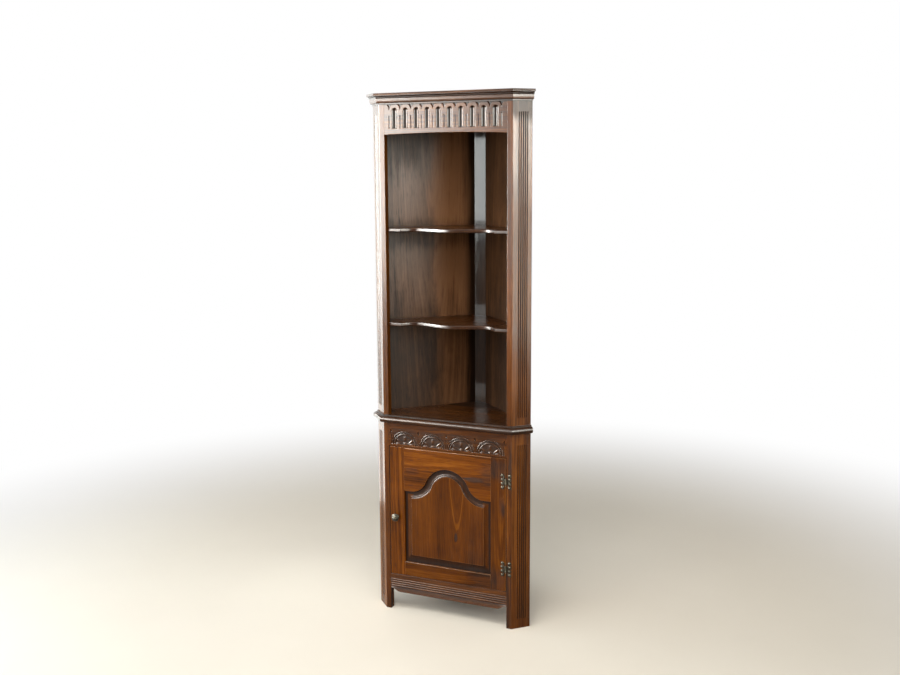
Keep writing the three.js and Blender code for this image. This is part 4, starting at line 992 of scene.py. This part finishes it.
# Distance to the leaf's outline, less than 0 inside: a waist at the barrel, an upright bar and four
# round lobes, all run together.
def leafDistance(u, v):
    waist = np.maximum(np.abs(u - 0.004) - 0.004, np.abs(v) - hinges["waist"])
    middle, half = (hinges["barFrom"] + hinges["barTo"]) / 2, (hinges["barTo"] - hinges["barFrom"]) / 2
    bar = np.hypot(u - middle, np.maximum(np.abs(v) - lobes[-1], 0)) - half
    distance = joined(waist, bar, hinges["blend"])
    for height in lobes:
        lobe = np.hypot(u - hinges["lobeOut"], v - height) - hinges["lobe"]
        distance = joined(distance, lobe, hinges["blend"])
    return distance


# A cast leaf on a grid of (u, v): cells that touch the outline are kept and their outer points drawn on
# to it. Its face swells from the rim as a quarter round, and each lobe as a low dome with a ring cut in.
def leafPoints():
    step, small = hinges["step"], 1e-5
    u, v = np.meshgrid(np.arange(-0.0004, 0.0205, step), np.arange(-0.0285, 0.0285, step), indexing="ij")
    for _ in range(3):
        d = leafDistance(u, v)
        slopeU = (leafDistance(u + small, v) - leafDistance(u - small, v)) / (2 * small)
        slopeV = (leafDistance(u, v + small) - leafDistance(u, v - small)) / (2 * small)
        size = np.maximum(slopeU ** 2 + slopeV ** 2, 0.05)
        move = np.where((d > 0) & (d < 1.6 * step), d, 0) / size
        u, v = u - move * slopeU, v - move * slopeV
    d = leafDistance(u, v)
    inside = d < 0.3 * step
    cells = inside[:-1, :-1] & inside[1:, :-1] & inside[1:, 1:] & inside[:-1, 1:]
    depth = np.clip(-d / hinges["rim"], 0, 1)
    near = np.min([np.hypot(u - hinges["lobeOut"], v - height) for height in lobes], 0)
    dome = halfRound(near / hinges["lobe"])
    ring = bell(near - hinges["lobe"] * 0.62, 0.0007)
    swell = hinges["thick"] * (0.35 + 0.65 * np.sqrt(1 - (1 - depth) ** 2))
    return u, v, swell + hinges["dome"] * dome - hinges["ring"] * ring, cells, dome, ring


def knuckle(low, high):   # a length of the barrel with rounded ends, as a turned profile
    r, ease = hinges["barrel"], hinges["barrelEase"]
    return np.concatenate([[(0.0002, low)], arc((r - ease, low + ease), ease, -90, 0, 3),
                           arc((r - ease, high - ease), ease, 0, 90, 3), [(0.0002, high)]])


# A leaf's kept cells, a flat back under them and a wall round both, then the leaf's own knuckles.
def addLeaf(word, member, side, height, body, spans):
    u, v, swell, cells, dome, ring = leafPoints()
    count, none = u.size, np.zeros(u.size)
    index = np.arange(count).reshape(u.shape)
    top = np.stack([index[:-1, :-1], index[1:, :-1], index[1:, 1:], index[:-1, 1:]], -1)[cells]
    edges = np.concatenate([top[:, [i, (i + 1) % 4]] for i in range(4)])
    _, first, times = np.unique(np.sort(edges, 1), axis=0, return_index=True, return_counts=True)
    start, end = edges[first[times == 1]].T
    rim = np.stack([start, start + count, end + count, end], -1)
    used, faces = np.unique(np.concatenate([top, top[:, ::-1] + count, rim]), return_inverse=True)
    faces = faces.reshape(-1, 4)[:, ::side].tolist()
    across, up = np.tile(u.ravel(), 2)[used], np.tile(v.ravel(), 2)[used]
    out = np.append(swell, none)[used]
    points = [np.stack([hinge[0] + side * across, frontY - out, height + up], -1)]
    grimeAndShade, worn = np.append(ring * 0.9, none)[used], np.append(dome ** 3 * 0.9, none)[used]
    for low, high in spans:
        profile = knuckle(low, high)
        base = sum(len(block) for block in points)
        faces += [[corner + base for corner in quad] for quad in loftFaces(len(profile), 32)]
        points.append((turnedPoints(profile, 32) + [*hinge[:2], height]).reshape(-1, 3))
    points = np.concatenate(points)
    more = np.ones(len(points) - len(worn))
    marks = {"grimeAndShade": np.append(grimeAndShade, more * 0), "worn": np.append(worn, more * 0.8)}
    addPiece(f"{word}Hinge{member}Leaf", points, brass, marks, body, faces=faces, sharp=60)


def addPin(word, height):   # a ball on a short neck at each end of the barrel
    half, small = hinges["length"] / 2, hinges["ball"]
    ball = arc((0, half + small), small, -60, 88, 8) * [hinges["pinHead"] / small, 1]
    profile = np.concatenate([ball[::-1] * [1, -1], [(hinges["pin"], -half), (hinges["pin"], half)], ball])
    points = turnedPoints(profile, 24) + [*hinge[:2], height]
    addPiece(word + "HingePin", points, brass, {"worn": 0.6}, sharp=60)


screw = {"head": 0.0029, "dome": 0.0009, "seat": 0.0004, "rim": 0.0006, "shank": 0.0013, "tip": 0.0012,
         "tipIn": 0.0075, "long": 0.008, "slotHalf": 0.0005, "slotDeep": 0.0007, "sides": 48}


# A countersunk screw's low dome with a slot across it, and its shank behind.
def addScrew(word, member, number, side, height, body):
    radius, seat, rim = screw["head"], hinges["thick"] + screw["seat"], hinges["thick"] + screw["rim"]
    dome = arc((0, 0), 1, 0, 88, 14) * [radius, screw["dome"]] + [0, rim]
    shank = [(0.0001, -screw["long"]), (screw["tip"], -screw["tipIn"]), (screw["shank"], seat)]
    profile = np.concatenate([shank, [(radius, seat)], dome])
    points = turnedPoints(profile, screw["sides"])
    slot = (np.abs(points[..., 1]) < screw["slotHalf"]) & (points[..., 2] > rim)
    points[..., 2] -= slot * screw["slotDeep"]
    worn = (points[..., 2] > rim + 0.0003) * 0.8
    addPiece(f"{word}Hinge{member}Screw{number}",
             towardsFront(points, (hinge[0] + side * hinges["lobeOut"], frontY, height)), brass,
             {"worn": worn, "grimeAndShade": slot}, body,
             f"{word}_hinge_{member.lower()}_screw_{number}", sharp=50)


def makeHinges():
    third, half, gap = hinges["length"] / 6, hinges["length"] / 2, hinges["gap"]
    outer = [(-half, -third - gap), (third + gap, half)]
    for word in ("upper", "lower"):
        height = sum(heights(word + "_hinge_pin")) / 2
        addLeaf(word, "Frame", 1, height, "case", outer)
        addLeaf(word, "Door", -1, height, "door", [(-third, third)])
        addPin(word, height)
        for member, side, body in (("Frame", 1, "case"), ("Door", -1, "door")):
            for number, end in ((1, lobes[0]), (2, lobes[-1])):
                addScrew(word, member, number, side, height + end, body)


def makeCatch():   # two small blocks with every edge rounded
    for name, finish, slot, body in (("magneticCatch", plastic, "catch_plastic", "case"),
                                     ("catchPlate", steel, "steel", "door")):
        low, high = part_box(nodeName(name))
        front, back = low.y - frontY, high.y - frontY
        small = min(high.y - low.y, 0.003) * 0.3
        outline, corner = eased([(low.x, front), (high.x, front), (high.x, back), (low.x, back)], small)
        plan, level, worn = boardLevels(outline, low.z, high.z, small)
        addPiece(name, stand(plan, level), finish, {"worn": np.maximum(worn, corner)}, body)


makeKnob()
makeHinges()
makeCatch()
print("knob, hinges and catch made")


# Flat boards that stay as they are and only take a finish

plain = {"upper_back_panel_left": "insideLeft", "upper_back_panel_right": "insideRight",
         "lower_back_panel_left": "insideLeft", "lower_back_panel_right": "insideRight",
         "upper_corner_post": "post", "lower_corner_post": "post", "cupboard_floor": "floor",
         "floor_cleat_left": "insideLeft", "floor_cleat_right": "insideRight", "catch_block": "floor"}
for node, key in plain.items():
    frame["nodes"][node].material_slots[0].material = oaks[key]
frame["nodes"]["knob_screw"].material_slots[0].material = steel


# Floor, lights and camera

ground = {"reach": 14.0, "pale": (0.70, 0.63, 0.53), "mottled": (0.74, 0.67, 0.57),
          "bounce": (0.42, 0.27, 0.15), "near": 1.1, "far": 3.0}
white = {"Color": (1, 1, 1, 1), "Strength": 1.0}


def makeStage():   # pale near the cupboard and seen as white further out, a browner tone as a source of light
    finish = Finish(bpy.data.materials.new("pale floor"))
    across, along, deep = finish.axes("xyz")
    mottle, seen = finish.noise(finish.vector(across, along, deep), 3, 3), finish.seen()
    colour = finish.blend(seen, ground["bounce"], finish.blend(mottle, ground["pale"], ground["mottled"]))
    away = finish.maths("SQRT", across * across + along * along).ease(ground["near"], ground["far"]) * seen
    soft = finish.node("BsdfPrincipled", inputs={"Base Color": colour, "Roughness": 0.8,
                                                 "Specular IOR Level": 0.2})
    finish.between(away, soft, finish.node("Emission", inputs=white), "OutputMaterial")
    reach = ground["reach"]
    mesh = bpy.data.meshes.new("floor")
    mesh.from_pydata([(-reach, -reach, 0), (reach, -reach, 0), (reach, reach, 0), (-reach, reach, 0)], [],
                     [(0, 1, 2, 3)])
    mesh.materials.append(finish.block)
    floor = bpy.data.objects.new("floor", mesh)
    bpy.context.scene.collection.objects.link(floor)


def makeWorld():   # soft light, seen as white by the camera and in reflections
    room = Finish(bpy.data.worlds.new("white room"))
    bpy.context.scene.world = room.block
    sky = room.node("Background", inputs={"Color": (*lights["sky"], 1), "Strength": lights["ambient"]})
    room.between(room.seen(), sky, room.node("Background", inputs=white), "OutputWorld")


# Each lamp: place, point it faces, width, height, power as soft light, power as sheen, colour.
lights = {
    "ambient": 0.13, "sky": (0.93, 0.97, 1.0),
    "lamps": {
        "window": ((-2.30, -3.05, 1.80), (0.0, 0.0, 1.35), 1.4, 2.1, 14, 515, (0.95, 1.0, 0.965)),
        "near window": ((-1.455, -3.30, 1.78), (0.0, 0.0, 1.35), 0.50, 1.36, 3, 41, (0.94, 1.0, 1.0)),
        "pale corner": ((-0.98, -3.35, 1.10), (0.2, 0.0, 1.10), 0.36, 1.0, 2, 10, (1.0, 1.0, 0.97)),
        "long window": ((-2.90, -1.10, 1.55), (-0.2, -0.15, 1.35), 2.6, 1.9, 12, 1200, (0.94, 1.0, 0.98)),
        "right window": ((2.75, -1.40, 2.02), (0.2, -0.15, 1.35), 1.1, 1.2, 8, 270, (0.94, 1.0, 0.94)),
        "right sill": ((2.75, -1.40, 0.90), (0.2, -0.15, 0.90), 1.1, 0.8, 2, 55, (0.95, 1.0, 0.92)),
        "left wall": ((-0.89, 0.21, 1.10), (-0.27, -0.12, 1.10), 0.6, 1.89, 2, 9.2, (0.96, 1.0, 0.97)),
        "room": ((0.75, -3.50, 2.00), (0.0, 0.0, 1.0), 1.6, 1.6, 27, 0, (1.0, 0.97, 0.93)),
        "behind left": ((-2.60, 2.60, 2.20), (0.0, 0.0, 0.9), 1.6, 1.6, 12, 0, (1.0, 0.98, 0.95)),
        "behind right": ((2.60, 2.60, 2.20), (0.0, 0.0, 0.9), 1.6, 1.6, 12, 0, (1.0, 0.98, 0.95)),
        "overhead": ((0.3, -1.6, 3.0), (0.0, 0.0, 0.8), 2.2, 1.6, 36, 50, (1.0, 0.98, 0.95)),
    },
}


def makeLamps():
    for name, (place, target, wide, high, soft, sheen, colour) in lights["lamps"].items():
        back = np.subtract(place, target)
        back /= np.linalg.norm(back)
        right = np.cross((0, 0, 1), back)
        right /= np.linalg.norm(right)
        for kind, power, behind in (("soft", soft, 0.03), ("sheen", sheen, 0.0)):
            if not power:
                continue
            lamp = bpy.data.lights.new(f"{name} {kind}", "AREA")
            lamp.shape = "RECTANGLE"
            lamp.size, lamp.size_y, lamp.spread = wide, high, math.radians(130)
            lamp.energy, lamp.color = power, colour
            holder = bpy.data.objects.new(lamp.name, lamp)
            holder.matrix_world = placed(right, np.cross(back, right), back, place + back * behind)
            holder.visible_camera = False
            holder.visible_diffuse, holder.visible_glossy = kind == "soft", kind == "sheen"
            bpy.context.scene.collection.objects.link(holder)


def placed(right, up, back, place):   # a matrix from three directions and a place
    columns = np.column_stack([right, up, back, place])
    return Matrix(np.vstack([columns, (0, 0, 0, 1)]).tolist())


photoCamera = {"place": (1.45465, -3.22240, 1.55789), "yaw": 24.054, "pitch": 9.072, "roll": -0.362,
               "focalPixels": 1067.9, "widePixels": 900, "sensor": 36.0}


def makeCamera():
    yaw, pitch, roll = (math.radians(photoCamera[key]) for key in ("yaw", "pitch", "roll"))
    ahead = np.array([-math.sin(yaw) * math.cos(pitch), math.cos(yaw) * math.cos(pitch), -math.sin(pitch)])
    level = np.array([math.cos(yaw), math.sin(yaw), 0])
    upright = np.cross(level, ahead)
    right = math.cos(roll) * level + math.sin(roll) * upright
    up = math.cos(roll) * upright - math.sin(roll) * level
    camera = bpy.data.cameras.new("camera")
    camera.sensor_fit, camera.sensor_width = "HORIZONTAL", photoCamera["sensor"]
    camera.lens = photoCamera["sensor"] * photoCamera["focalPixels"] / photoCamera["widePixels"]
    camera.clip_start, camera.clip_end = 0.05, 60
    holder = bpy.data.objects.new("camera", camera)
    place = np.array(photoCamera["place"]) + [0, frontY, 0]
    holder.matrix_world = placed(right, up, -ahead, place)
    bpy.context.scene.collection.objects.link(holder)
    bpy.context.scene.camera = holder


makeStage()
makeWorld()
makeLamps()
makeCamera()
bpy.context.scene.view_settings.view_transform = "Standard"

bpy.context.view_layer.update()
